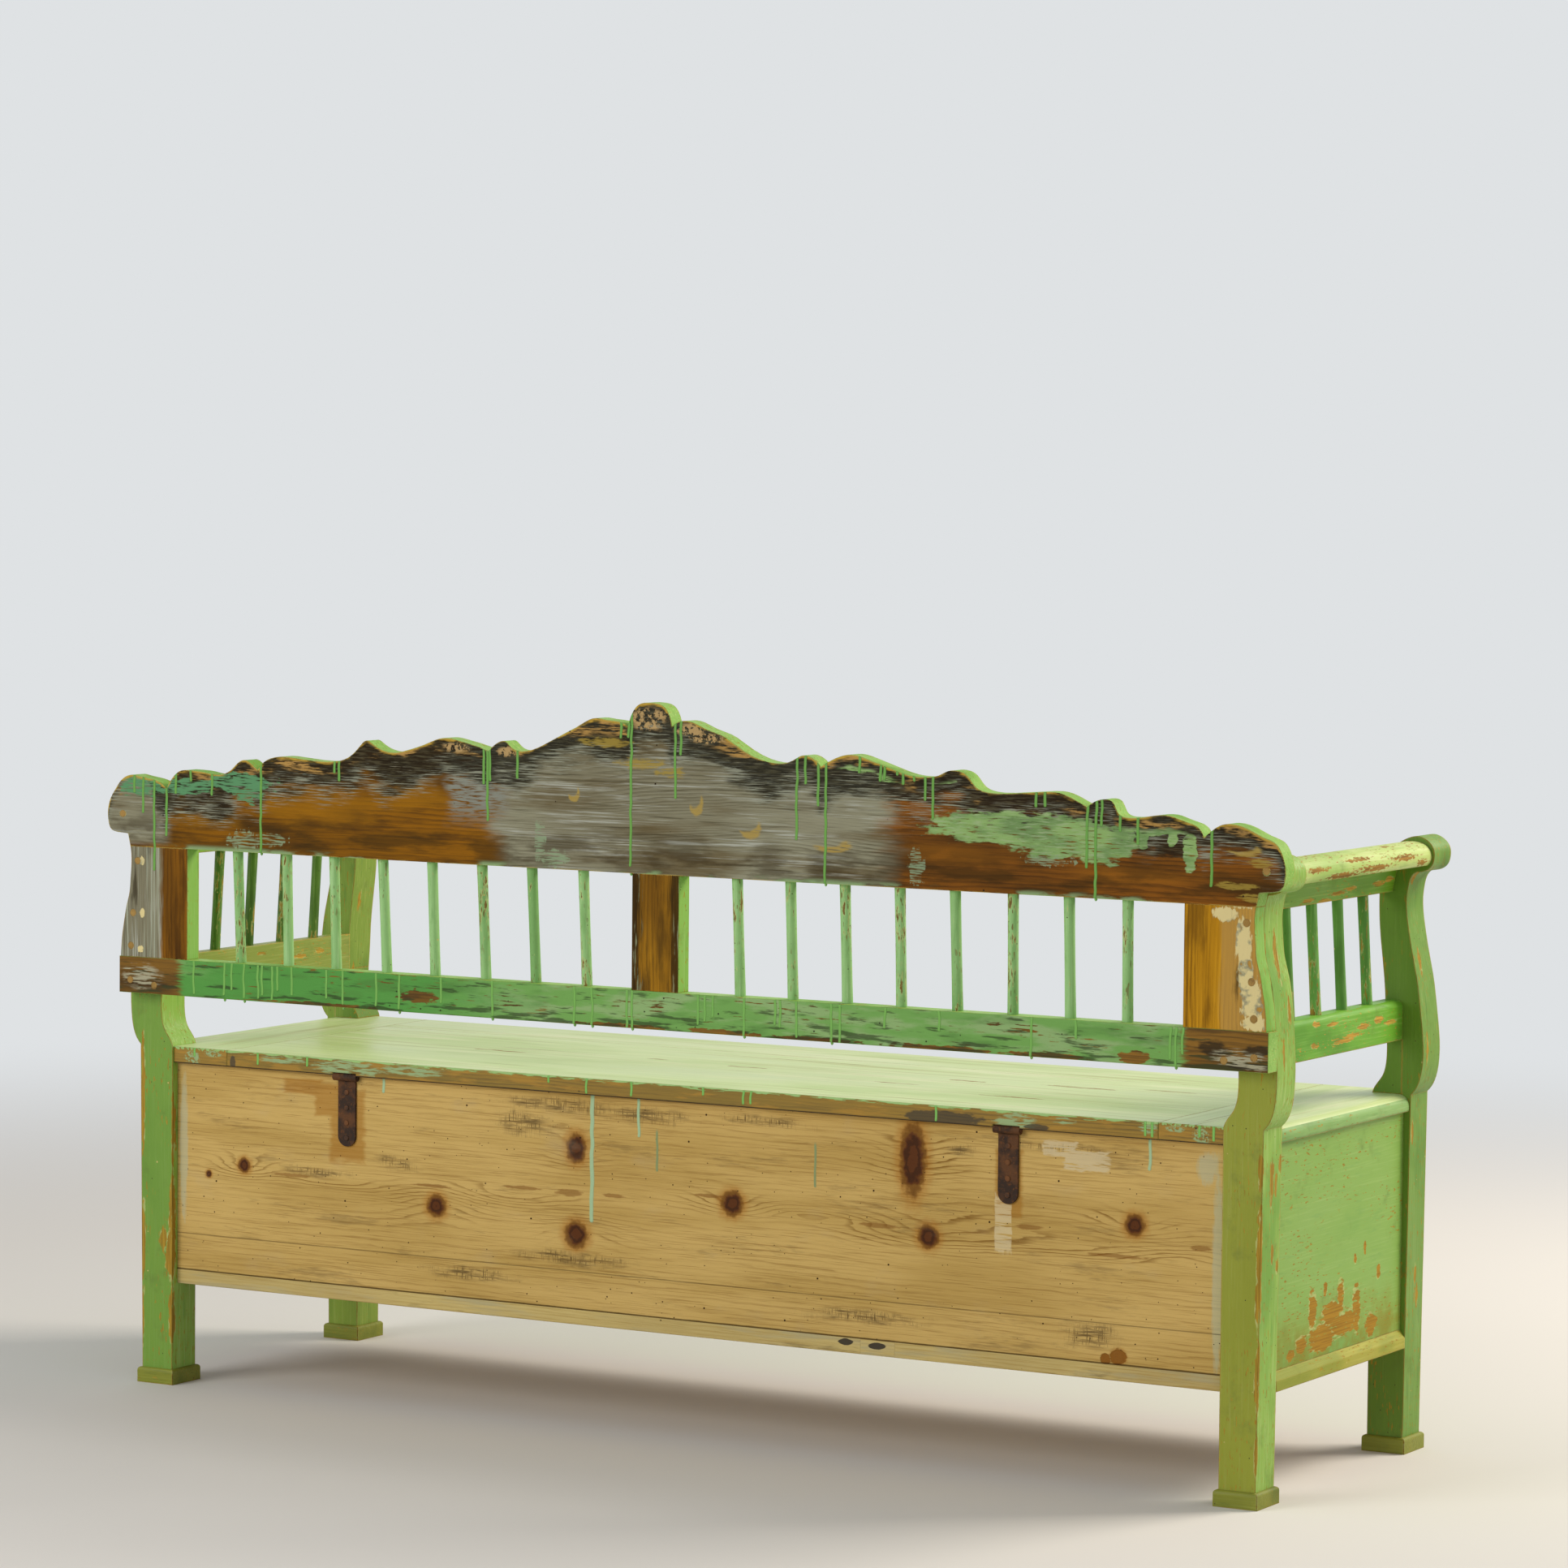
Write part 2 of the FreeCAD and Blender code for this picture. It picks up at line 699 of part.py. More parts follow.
# Crest board, sawn by hand, so its two halves differ a little. Across: shares of its reach from
# the middle. Up: shares of its height. From the left end: scroll, outer, middle and inner wave,
# lobe, inner, middle and outer wave, scroll. The throat lies under each scroll.

CREST_RUN_SHARES = [
    [
        (-0.961, 0.076), (-0.979, 0.082), (-0.994, 0.101), (-0.999, 0.151), (-1.000, 0.202),
        (-0.995, 0.286), (-0.985, 0.349), (-0.967, 0.379), (-0.947, 0.415), (-0.922, 0.444),
        (-0.902, 0.436), (-0.890, 0.409), (-0.876, 0.363),
    ],
    [
        (-0.876, 0.363), (-0.863, 0.427), (-0.845, 0.449), (-0.825, 0.473), (-0.805, 0.474),
        (-0.783, 0.460), (-0.763, 0.453), (-0.745, 0.472), (-0.735, 0.537), (-0.722, 0.549),
        (-0.708, 0.534), (-0.696, 0.502),
    ],
    [
        (-0.696, 0.502), (-0.676, 0.540), (-0.653, 0.572), (-0.624, 0.573), (-0.592, 0.562),
        (-0.561, 0.554), (-0.542, 0.556), (-0.521, 0.584), (-0.505, 0.651), (-0.491, 0.671),
        (-0.477, 0.669), (-0.461, 0.641), (-0.441, 0.628), (-0.415, 0.634), (-0.381, 0.671),
        (-0.348, 0.713), (-0.319, 0.738), (-0.290, 0.708), (-0.269, 0.662),
    ],
    [
        (-0.269, 0.662), (-0.255, 0.710), (-0.239, 0.722), (-0.225, 0.695), (-0.210, 0.674),
        (-0.193, 0.671), (-0.164, 0.695), (-0.134, 0.751), (-0.105, 0.816), (-0.078, 0.849),
        (-0.058, 0.882), (-0.035, 0.890), (-0.020, 0.853),
    ],
    [
        (-0.020, 0.853), (-0.018, 0.893), (-0.006, 0.970), (0.015, 0.989), (0.036, 0.978),
        (0.051, 0.898), (0.055, 0.849),
    ],
    [
        (0.055, 0.849), (0.070, 0.874), (0.093, 0.883), (0.113, 0.889), (0.138, 0.845),
        (0.168, 0.787), (0.197, 0.729), (0.226, 0.685), (0.242, 0.680), (0.257, 0.698),
        (0.269, 0.734), (0.283, 0.720), (0.297, 0.670),
    ],
    [
        (0.297, 0.670), (0.319, 0.699), (0.348, 0.724), (0.377, 0.739), (0.409, 0.699),
        (0.442, 0.658), (0.467, 0.640), (0.486, 0.650), (0.503, 0.680), (0.516, 0.705),
        (0.527, 0.675), (0.544, 0.612), (0.564, 0.578), (0.583, 0.569), (0.614, 0.570),
        (0.646, 0.581), (0.676, 0.586), (0.700, 0.561), (0.716, 0.501),
    ],
    [
        (0.716, 0.501), (0.728, 0.534), (0.740, 0.557), (0.752, 0.541), (0.766, 0.493),
        (0.783, 0.464), (0.802, 0.462), (0.822, 0.475), (0.842, 0.479), (0.861, 0.475),
        (0.876, 0.432), (0.888, 0.362),
    ],
    [
        (0.888, 0.362), (0.902, 0.400), (0.914, 0.414), (0.933, 0.425), (0.955, 0.437),
        (0.973, 0.406), (0.985, 0.349), (0.995, 0.286), (1.000, 0.202), (0.999, 0.151),
        (0.994, 0.101), (0.979, 0.082), (0.961, 0.076),
    ],
]
CREST_THROAT_SHARE = (0.9565, 0.000)

STILE_OUTER_SHARE = [
    (0.330, 0.000), (0.318, 0.075), (0.281, 0.205), (0.213, 0.342), (0.142, 0.463),
    (0.055, 0.571), (0.010, 0.720), (-0.018, 0.870), (0.018, 1.000),
]


def make_crest_board():
    """Saw the crest board: a lobe in the middle, waves to both sides, scrolled ends."""
    reach = size("crest_reach")
    base = size("crest_bottom")
    height = size("crest_height")
    left_throat = [(-CREST_THROAT_SHARE[0], CREST_THROAT_SHARE[1]), CREST_RUN_SHARES[0][0]]
    right_throat = [CREST_RUN_SHARES[-1][-1], CREST_THROAT_SHARE]
    shares = [left_throat] + CREST_RUN_SHARES + [right_throat]
    runs = closed_runs([[(u * reach, base + v * height) for u, v in run] for run in shares])
    board = plate("crest_board_blank", "XZ_Plane", runs, "back_thickness")
    place(board, y="back_face")
    holes = []
    for side_name, side in SIDES.items():
        holes += peg_holes(f"{side_name}_crest", side, ["crest"])
    keep(cut("crest_board", board, holes), "crest_board")


def worn_faces():
    """Round every edge of the back frame's rear and front faces a little."""
    radius = size("board_edge_round")
    return [({"y": size("back_face")}, radius), ({"y": size("rear_face")}, radius)]


def make_back_stile(side_name, side):
    """Make an outer stile, whose outer edge follows the post that it is pegged to."""
    name = f"{side_name}_back_stile"
    bottom = size("back_rail_top")
    height = size("stile_height")
    width = size("leg_width")
    span = size("half_span")
    outer = [(side * (span + u * width), bottom + v * height) for u, v in STILE_OUTER_SHARE]
    inner = side * size("stile_inner")
    runs = closed_runs([outer, [(inner, size("crest_bottom")), (inner, bottom)]])
    blank = plate(name + "_blank", "XZ_Plane", runs, "back_thickness")
    place(blank, y="back_face")
    keep(cut(name, blank, peg_holes(name, side, ["stile"])), name)


# Places of the back's spindles from the middle outward: foot and head, each as a share of the
# reach of the outer stiles' inner edges.

BACK_SPINDLE_SHARE = {
    "left": [
        (0.154, 0.146), (0.258, 0.251), (0.364, 0.357), (0.468, 0.463), (0.575, 0.568),
        (0.679, 0.677), (0.786, 0.781), (0.891, 0.889),
    ],
    "right": [
        (0.155, 0.164), (0.260, 0.270), (0.364, 0.374), (0.471, 0.479), (0.574, 0.584),
        (0.683, 0.689), (0.787, 0.792), (0.892, 0.900),
    ],
}


def make_back_frame():
    """Make the bottom rail, the centre stile, the spindles and the pegs of the back."""
    y = ("rear_face", "back_face")
    rail_x = ("-back_rail_half", "back_rail_half")
    sawn = block("back_bottom_rail_sawn", rail_x, y, ("back_rail_bottom", "back_rail_top"))
    rail = round_edges("back_bottom_rail_blank", sawn, worn_faces())
    holes = []
    for side_name, side in SIDES.items():
        holes += peg_holes(f"{side_name}_rail", side, ["rail"])
        holes.append(short_peg_hole(f"{side_name}_short_hole", side))
    keep(cut("back_bottom_rail", rail, holes), "back_bottom_rail")

    half = "centre_stile_width / 2"
    stile_x = (f"centre_stile_offset - {half}", f"centre_stile_offset + {half}")
    stile = block("centre_back_stile_sawn", stile_x, y, ("back_rail_top", "crest_bottom"))
    joints = [{"z": size("back_rail_top")}, {"z": size("crest_bottom")}]
    keep(round_edges("centre_back_stile", stile, worn_faces(), sharp=joints), "centre_back_stile")

    at_y = "(rear_face + back_face) / 2"
    for side_name, side in SIDES.items():
        spindles = []
        for index, (foot_share, head_share) in enumerate(BACK_SPINDLE_SHARE[side_name], 1):
            foot = (f"{side * foot_share} * stile_inner", at_y, "back_rail_top")
            head = (f"{side * head_share} * stile_inner", at_y, "crest_bottom")
            spindles.append(spindle(f"{side_name}_back_spindle_{index}", foot, head))
        keep(group(f"{side_name}_back_spindles", spindles), f"{side_name}_back_spindles")

    pegs = []
    depth = "back_thickness + peg_depth"
    for side_name, side in SIDES.items():
        for piece, shares in PEG_SHARE.items():
            for index, share in enumerate(shares):
                name = f"{side_name}_{piece}_peg_{index}"
                pegs.append(peg_rod(name, side, piece, share, "peg_radius", "0", depth))
        name = f"{side_name}_short_peg"
        pegs.append(peg_rod(name, side, "rail", SHORT_PEG_SHARE, "peg_radius", "0", "back_thickness"))
    keep(group("back_frame_pegs", pegs), "back_frame_pegs")


def hinge_places():
    """Give the formula of each hinge's place along the bench."""
    return {"left": "-left_hinge_place", "right": "right_hinge_place"}


def strap_screw_places(centre):
    """Give the places of the screws of one fixed strap, on its rear face."""
    bottom = "hinge_height - strap_length + strap_screw_start"
    face = "box_back_rear + leaf_thickness"
    return [
        (centre, face, f"{bottom} + {index} * strap_screw_pitch")
        for index in range(COUNTS["strap_screws"])
    ]


def leaf_screw_places(centre):
    """Give the places of the screws of one lid leaf, on its underside."""
    front = "hinge_line - lid_leaf_length + leaf_screw_start"
    return [
        (centre, f"{front} + {index} * leaf_screw_pitch", "seat_underside")
        for index in range(COUNTS["leaf_screws"])
    ]


def screw_hole(name, axis, place_at, reach):
    """Make the hole of a screw, open past the face that its head rests on."""
    x, y, z = place_at
    if axis == "y":
        start = (x, f"{y} - ({reach})", z)
    else:
        start = (x, y, f"{z} - overrun")
    return rod(name, axis, "screw_hole_radius", start, f"{reach} + overrun")


def screw(name, axis, place_at):
    """Make a round-headed screw; its head stands on the face and its shank goes in."""
    x, y, z = place_at
    if axis == "y":
        head_at = (x, y, z)
        shank_at = (x, f"{y} - screw_length", z)
        top = {"y": size("box_back_rear") + size("leaf_thickness") + size("screw_head_height")}
    else:
        head_at = (x, y, f"{z} - screw_head_height")
        shank_at = (x, y, z)
        top = {"z": size("seat_underside") - size("screw_head_height")}
    head = rod(name + "_head", axis, "screw_head_radius", head_at, "screw_head_height")
    domed = round_edges(name + "_dome", head, [(top, size("screw_head_round"))])
    shank = rod(name + "_shank", axis, "screw_radius", shank_at, "screw_length")
    return fuse(name, [domed, shank])


def make_box_back():
    """Make the two back boards of the box and the rear ledger in its three lengths."""
    y = ("box_back_front", "box_back_rear")
    x = ("-leg_inner", "leg_inner")
    board = block("box_back_board_blank", x, y, ("lower_board_top", "box_top"))
    holes = []
    for side_name, centre in hinge_places().items():
        for index, place_at in enumerate(strap_screw_places(centre)):
            name = f"{side_name}_back_board_hole_{index}"
            holes.append(screw_hole(name, "y", place_at, "screw_length + screw_clearance"))
    keep(cut("box_back_board", board, holes), "box_back_board")

    lower = block("box_back_lower_board", x, y, ("ledger_top", "lower_board_top"))
    keep(lower, "box_back_lower_board")

    z = ("ledger_bottom", "ledger_top")
    patch_end = "-ledger_joint - ledger_patch_length"
    lengths = {
        "rear_ledger_left": ("-leg_inner", patch_end),
        "rear_ledger_patch": (patch_end, "-ledger_joint"),
        "rear_ledger_right": ("-ledger_joint", "leg_inner"),
    }
    worn = [({"y": size("box_back_rear"), "z": size("ledger_bottom")}, size("board_edge_round"))]
    for name, length_x in lengths.items():
        sawn = block(name + "_sawn", length_x, y, z)
        keep(round_edges(name, sawn, worn), name)


def make_box_floor():
    """Make the floor boards of the box and the cleats that carry them."""
    half = "(leg_inner - seat_clearance)"
    z = ("box_floor_bottom", "box_floor_top")
    count = COUNTS["box_floor_boards"]
    width = f"(box_back_front - box_floor_front) / {count}"
    boards = []
    for index in range(count):
        y = (f"box_floor_front + {index} * {width}", f"box_floor_front + {index + 1} * {width}")
        boards.append(block(f"box_floor_board_{index}", (f"-{half}", half), y, z))
    keep(group("box_bottom_boards", boards), "box_bottom_boards")

    cleat_z = ("box_floor_bottom - floor_cleat_height", "box_floor_bottom")
    rear_y = ("box_back_front - floor_cleat_thickness", "box_back_front")
    cleats = [block("rear_floor_cleat", ("-leg_inner", "leg_inner"), rear_y, cleat_z)]
    for side_name, side in SIDES.items():
        x = across(side, "end_inner - floor_cleat_reach", "end_inner")
        y = ("front_leg_rear", "rear_leg_front")
        cleats.append(block(f"{side_name}_floor_cleat", x, y, cleat_z))
    keep(group("box_bottom_cleats", cleats), "box_bottom_cleats")

    for side_name, side in SIDES.items():
        name = f"{side_name}_bed_runner"
        x = across(side, "bed_side_inner - runner_lip", "end_inner")
        y = ("front_leg_rear", "rear_leg_front")
        keep(block(name, x, y, ("runner_bottom", "runner_top")), name)


def make_fixed_strap(side_name, centre):
    """Make the strap on the back board, with its round end and the two outer knuckles."""
    name = f"{side_name}_hinge_fixed_strap"
    half = "leaf_width / 2"
    y = ("box_back_rear", "box_back_rear + leaf_thickness")
    bottom = "hinge_height - strap_length + leaf_width / 2"
    leaf_z = (bottom, "hinge_height - knuckle_reach")
    leaf_x = (f"{centre} - {half}", f"{centre} + {half}")
    pieces = [
        block(name + "_leaf", leaf_x, y, leaf_z),
        rod(name + "_end", "y", half, (centre, y[0], bottom), "leaf_thickness"),
    ]
    tongue_z = ("hinge_height - knuckle_reach", "hinge_height")
    for turn in (-1, 1):
        near = f"{centre} + {turn} * (lid_knuckle_width / 2 + knuckle_gap)"
        edge = f"{centre} + {turn} * {half}"
        far = f"{centre} + {turn} * barrel_width / 2"
        tongue_x = (near, edge) if turn > 0 else (edge, near)
        start = near if turn > 0 else far
        length = "barrel_width / 2 - lid_knuckle_width / 2 - knuckle_gap"
        knuckle_at = (start, "hinge_line", "hinge_height")
        pieces.append(block(f"{name}_tongue_{turn + 1}", tongue_x, y, tongue_z))
        pieces.append(rod(f"{name}_knuckle_{turn + 1}", "x", "knuckle_radius", knuckle_at, length))
    whole = fuse(name + "_whole", pieces)
    bore_at = (f"{centre} - barrel_width / 2 - overrun", "hinge_line", "hinge_height")
    holes = [rod(name + "_bore", "x", "pin_bore_radius", bore_at, "barrel_width + 2 * overrun")]
    for index, place_at in enumerate(strap_screw_places(centre)):
        reach = "leaf_thickness + overrun"
        holes.append(screw_hole(f"{name}_hole_{index}", "y", place_at, reach))
    keep(cut(name, whole, holes), name)


def make_lid_leaf(side_name, centre):
    """Make the leaf let into the lid, with the middle knuckle."""
    name = f"{side_name}_hinge_lid_leaf"
    half = "leaf_width / 2"
    z = ("seat_underside", "seat_underside + leaf_thickness")
    leaf_x = (f"{centre} - {half}", f"{centre} + {half}")
    leaf_y = ("hinge_line - lid_leaf_length", "hinge_line - knuckle_reach")
    knuckle_x = (f"{centre} - lid_knuckle_width / 2", f"{centre} + lid_knuckle_width / 2")
    knuckle_at = (knuckle_x[0], "hinge_line", "hinge_height")
    pieces = [
        block(name + "_leaf", leaf_x, leaf_y, z),
        block(name + "_tongue", knuckle_x, ("hinge_line - knuckle_reach", "hinge_line"), z),
        rod(name + "_knuckle", "x", "knuckle_radius", knuckle_at, "lid_knuckle_width"),
    ]
    whole = fuse(name + "_whole", pieces)
    bore_at = (f"{knuckle_x[0]} - overrun", "hinge_line", "hinge_height")
    holes = [rod(name + "_bore", "x", "pin_bore_radius", bore_at, "lid_knuckle_width + 2 * overrun")]
    for index, place_at in enumerate(leaf_screw_places(centre)):
        reach = "leaf_thickness + overrun"
        holes.append(screw_hole(f"{name}_hole_{index}", "z", place_at, reach))
    keep(cut(name, whole, holes), name)


def lid_recess(name, centre):
    """Make the space that a leaf and its barrel take out of the lid's underside."""
    leaf_half = "(leaf_width / 2 + leaf_fit)"
    barrel_half = "(barrel_width / 2 + leaf_fit)"
    under = "seat_underside - overrun"
    leaf_x = (f"{centre} - {leaf_half}", f"{centre} + {leaf_half}")
    leaf_y = ("hinge_line - lid_leaf_length - leaf_fit", "seat_rear + overrun")
    barrel_x = (f"{centre} - {barrel_half}", f"{centre} + {barrel_half}")
    barrel_y = ("hinge_line - knuckle_reach", "seat_rear + overrun")
    barrel_z = (under, "hinge_height + knuckle_reach")
    return [
        block(name + "_leaf", leaf_x, leaf_y, (under, "seat_underside + leaf_thickness")),
        block(name + "_barrel", barrel_x, barrel_y, barrel_z),
    ]


def make_hinges():
    """Make both hinges with their pins and screws."""
    pins = []
    strap_screws = []
    leaf_screws = []
    for side_name, centre in hinge_places().items():
        make_fixed_strap(side_name, centre)
        make_lid_leaf(side_name, centre)
        pin_at = (f"{centre} - barrel_width / 2 - pin_overhang", "hinge_line", "hinge_height")
        length = "barrel_width + 2 * pin_overhang"
        pins.append(rod(f"{side_name}_hinge_pin", "x", "pin_radius", pin_at, length))
        for index, place_at in enumerate(strap_screw_places(centre)):
            strap_screws.append(screw(f"{side_name}_strap_screw_{index}", "y", place_at))
        for index, place_at in enumerate(leaf_screw_places(centre)):
            leaf_screws.append(screw(f"{side_name}_leaf_screw_{index}", "z", place_at))
    keep(group("hinge_pins", pins), "hinge_pins")
    keep(group("fixed_strap_screws", strap_screws), "fixed_strap_screws")
    keep(group("lid_leaf_screws", leaf_screws), "lid_leaf_screws")


def make_lid():
    """Make the two lid boards and the cleats under them."""
    x = ("-lid_half", "lid_half")
    z = ("seat_underside", "seat_top")
    front_blank = block("lid_front_board_blank", x, ("front_face", "lid_joint"), z)
    front = size("front_face")
    top = size("seat_top")
    rounds = [
        ({"y": front, "z": top}, size("seat_nosing")),
        ({"y": front, "z": size("seat_underside")}, size("seat_nosing")),
    ]
    keep(round_edges("lid_front_board", front_blank, rounds), "lid_front_board")

    rear_blank = block("lid_rear_board_blank", x, ("lid_joint", "seat_rear"), z)
    worn_edge = [({"y": size("seat_rear"), "z": top}, size("board_edge_round"))]
    worn = round_edges("lid_rear_board_worn", rear_blank, worn_edge)
    recesses = []
    holes = []
    for side_name, centre in hinge_places().items():
        recess = lid_recess(f"{side_name}_recess", centre)
        recesses.append(fuse(f"{side_name}_recess", recess))
        for index, place_at in enumerate(leaf_screw_places(centre)):
            name = f"{side_name}_lid_hole_{index}"
            holes.append(screw_hole(name, "z", place_at, "screw_length + screw_clearance"))
    recessed = cut("lid_rear_board_recessed", worn, recesses)
    keep(cut("lid_rear_board", recessed, holes), "lid_rear_board")

    cleats = []
    y = ("front_face + lid_cleat_front_gap", "box_back_front - lid_cleat_rear_gap")
    cleat_z = ("seat_underside - lid_cleat_height", "seat_underside")
    for index in (-1, 0, 1):
        centre = f"{index} * lid_cleat_spacing"
        cleat_x = (f"{centre} - lid_cleat_width / 2", f"{centre} + lid_cleat_width / 2")
        cleats.append(block(f"lid_cleat_{index + 1}", cleat_x, y, cleat_z))
    keep(group("lid_cleats", cleats), "lid_cleats")


def make_bed():
    """Make the pull-out bed: front board, sides with their ears, rails and bottom boards."""
    front_y = ("bed_front_face", "bed_front_rear")
    front = block("bed_front_blank", ("-bed_half", "bed_half"), front_y, ("bed_front_bottom", "box_top"))
    holes = []
    for side_name, side in SIDES.items():
        start = (f"{side} * prop_place", "bed_front_rear - prop_pin_depth", "prop_pivot_height")
        name = f"{side_name}_prop_pin_hole"
        holes.append(rod(name, "y", "prop_bore_radius", start, "prop_pin_depth + overrun"))
    keep(cut("bed_front_board", front, holes), "bed_front_board")

    low = size("bed_bottom")
    board_top = size("bed_board_top")
    ear_top = board_top + size("ear_height")
    near = size("bed_front_rear")
    far = size("bed_rear")
    ear = size("ear_depth")
    ear_rear = near + ear
    crown = [(near, ear_top), (near + ear / 2, ear_top - ear / 4), (ear_rear, ear_top - ear)]
    outline = [[(near, low), (near, ear_top)], crown, [crown[-1], (ear_rear, board_top)]]
    outline += [[(ear_rear, board_top), (far, board_top)], [(far, board_top), (far, low)]]
    for side_name, side in SIDES.items():
        name = f"{side_name}_bed_side"
        body = plate(name, "YZ_Plane", closed_runs(outline), "bed_side_thickness")
        place(body, x=across(side, "bed_side_inner", "bed_side_outer")[0])
        keep(body, name)

    rail_x = ("-bed_side_inner", "bed_side_inner")
    rail_z = ("bed_bottom", "bed_board_bottom")
    front_rail_y = ("bed_rail_front", "bed_rail_front + bed_rail_thickness")
    keep(block("bed_front_rail", rail_x, front_rail_y, rail_z), "bed_front_rail")
    rear_rail_y = ("bed_rear - bed_rail_thickness", "bed_rear")
    keep(block("bed_rear_rail", rail_x, rear_rail_y, rail_z), "bed_rear_rail")

    boards = []
    count = COUNTS["bed_boards"]
    width = f"2 * bed_side_inner / {count}"
    for index in range(count):
        x = (f"{index} * {width} - bed_side_inner", f"{index + 1} * {width} - bed_side_inner")
        y = ("bed_front_rear", "bed_rear")
        z = ("bed_board_bottom", "bed_board_top")
        boards.append(block(f"bed_board_{index}", x, y, z))
    keep(group("bed_bottom_boards", boards), "bed_bottom_boards")


def make_props():
    """Make the two folding props, stowed level behind the front board, and their pins."""
    radius = size("prop_width") / 2
    height = size("prop_pivot_height")
    reach = height - size("prop_floor_gap") - radius
    pins = []
    for side_name, side in SIDES.items():
        pivot = side * size("prop_place")
        foot = pivot - side * reach
        runs = [
            [(pivot, height - radius), (pivot + side * radius, height), (pivot, height + radius)],
            [(pivot, height + radius), (foot, height + radius)],
            [(foot, height + radius), (foot - side * radius, height), (foot, height - radius)],
            [(foot, height - radius), (pivot, height - radius)],
        ]
        name = f"{side_name}_prop_leg"
        blank = plate(name + "_blank", "XZ_Plane", runs, "prop_thickness")
        place(blank, y="prop_rear")
        centre = f"{side} * prop_place"
        bore_at = (centre, "prop_front - overrun", "prop_pivot_height")
        bore = rod(name + "_bore", "y", "prop_bore_radius", bore_at, "prop_thickness + 2 * overrun")
        keep(cut(name, blank, [bore]), name)

        pin_at = (centre, "bed_front_rear - prop_pin_depth", "prop_pivot_height")
        head_at = (centre, "prop_head_front", "prop_pivot_height")
        length = "prop_head_front - bed_front_rear + prop_pin_depth"
        shank = rod(name + "_pin_shank", "y", "prop_pin_radius", pin_at, length)
        head = rod(name + "_pin_head", "y", "prop_pin_head_radius", head_at, "prop_pin_head_thickness")
        pins.append(fuse(name + "_pin", [shank, head]))
    keep(group("prop_leg_pins", pins), "prop_leg_pins")


def check_document():
    """Stop if any object failed, or any sub-part has no sound shape."""
    for item in doc.Objects:
        if "Invalid" in item.State or "Error" in item.State:
            raise RuntimeError(f"{item.Name} failed: {item.State}")
    for item in subparts:
        if item.Shape.isNull() or not item.Shape.isValid() or not item.Shape.Solids:
            raise RuntimeError(f"{item.Label} has no sound shape")


def write_subparts():
    """Write each sub-part to its own file."""
    os.makedirs("parts", exist_ok=True)
    for item in subparts:
        item.Shape.exportStep(f"parts/{item.Label}.step")


def main():
    """Build the whole bench, check it and write its sub-parts."""
    fill_sheet()
    for side_name, side in SIDES.items():
        make_rear_leg(side_name, side)
        make_front_leg(side_name, side)
        make_foot_mouldings(side_name, side)
        make_end(side_name, side)
        make_seat_end_board(side_name, side)
        make_arm(side_name, side)
        make_back_stile(side_name, side)
    make_crest_board()
    make_back_frame()
    make_box_back()
    make_box_floor()
    make_hinges()
    make_lid()
    make_bed()
    make_props()
    doc.recompute()
    check_document()
    write_subparts()


main()
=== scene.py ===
"""Swedish pull-out bench bed: paint, wood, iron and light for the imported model.

Lengths are in millimetres in the dataclasses below and in metres in Blender. The frame is that of
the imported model: +Z up, the front of the bench toward -Y, its left end at -X, origin on the floor.
"""

import logging
import math
from dataclasses import dataclass
from enum import Enum
from typing import Mapping, Protocol, Sequence, Union

import bmesh
import bpy
from mathutils import Matrix, Vector


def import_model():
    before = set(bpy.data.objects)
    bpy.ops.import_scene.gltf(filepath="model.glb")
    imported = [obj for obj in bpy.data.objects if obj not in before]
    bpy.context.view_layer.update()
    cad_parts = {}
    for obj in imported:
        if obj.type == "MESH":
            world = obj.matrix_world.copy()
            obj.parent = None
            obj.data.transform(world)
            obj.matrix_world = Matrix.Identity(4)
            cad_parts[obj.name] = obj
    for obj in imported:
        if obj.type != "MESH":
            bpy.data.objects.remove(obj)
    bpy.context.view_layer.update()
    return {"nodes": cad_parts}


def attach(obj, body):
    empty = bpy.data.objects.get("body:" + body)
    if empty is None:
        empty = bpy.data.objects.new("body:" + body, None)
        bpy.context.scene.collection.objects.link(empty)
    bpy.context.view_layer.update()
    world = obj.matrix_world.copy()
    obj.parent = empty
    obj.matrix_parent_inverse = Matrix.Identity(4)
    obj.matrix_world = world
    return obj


LOG = logging.getLogger("bench_bed")
MM = 0.001

Triple = tuple[float, float, float]
Pair = tuple[float, float]
Oval = tuple[float, float, float, float]
Coats = tuple[str, str, str]
Value = Union[None, float, Sequence[float], str, bpy.types.Node, bpy.types.NodeSocket]


class Way(Enum):
    """The axis that a board's grain or a brush stroke follows."""

    X = (1.0, 0.0, 0.0)
    Y = (0.0, 1.0, 0.0)
    Z = (0.0, 0.0, 1.0)


class Side(Enum):
    """An end of the bench, as seen by someone in front of it."""

    LEFT = ("left", -1.0)
    RIGHT = ("right", 1.0)

    @property
    def word(self) -> str:
        """Give the word that starts the names of this end's pieces."""
        return self.value[0]

    @property
    def sign(self) -> float:
        """Give the sign of X at this end."""
        return self.value[1]


REARWARD: Triple = (0.0, 1.0, 0.0)
UPWARD: Triple = (0.0, 0.0, 1.0)
DOWNWARD: Triple = (0.0, 0.0, -1.0)

LEG_OUTER = 900.0
LEG_REAR = 254.5
SEAT_TOP = 497.0
RAIL_BOTTOM = 574.0
CREST_BOTTOM = 794.0
WHOLE_BENCH = 5000.0
FAR = 9.0


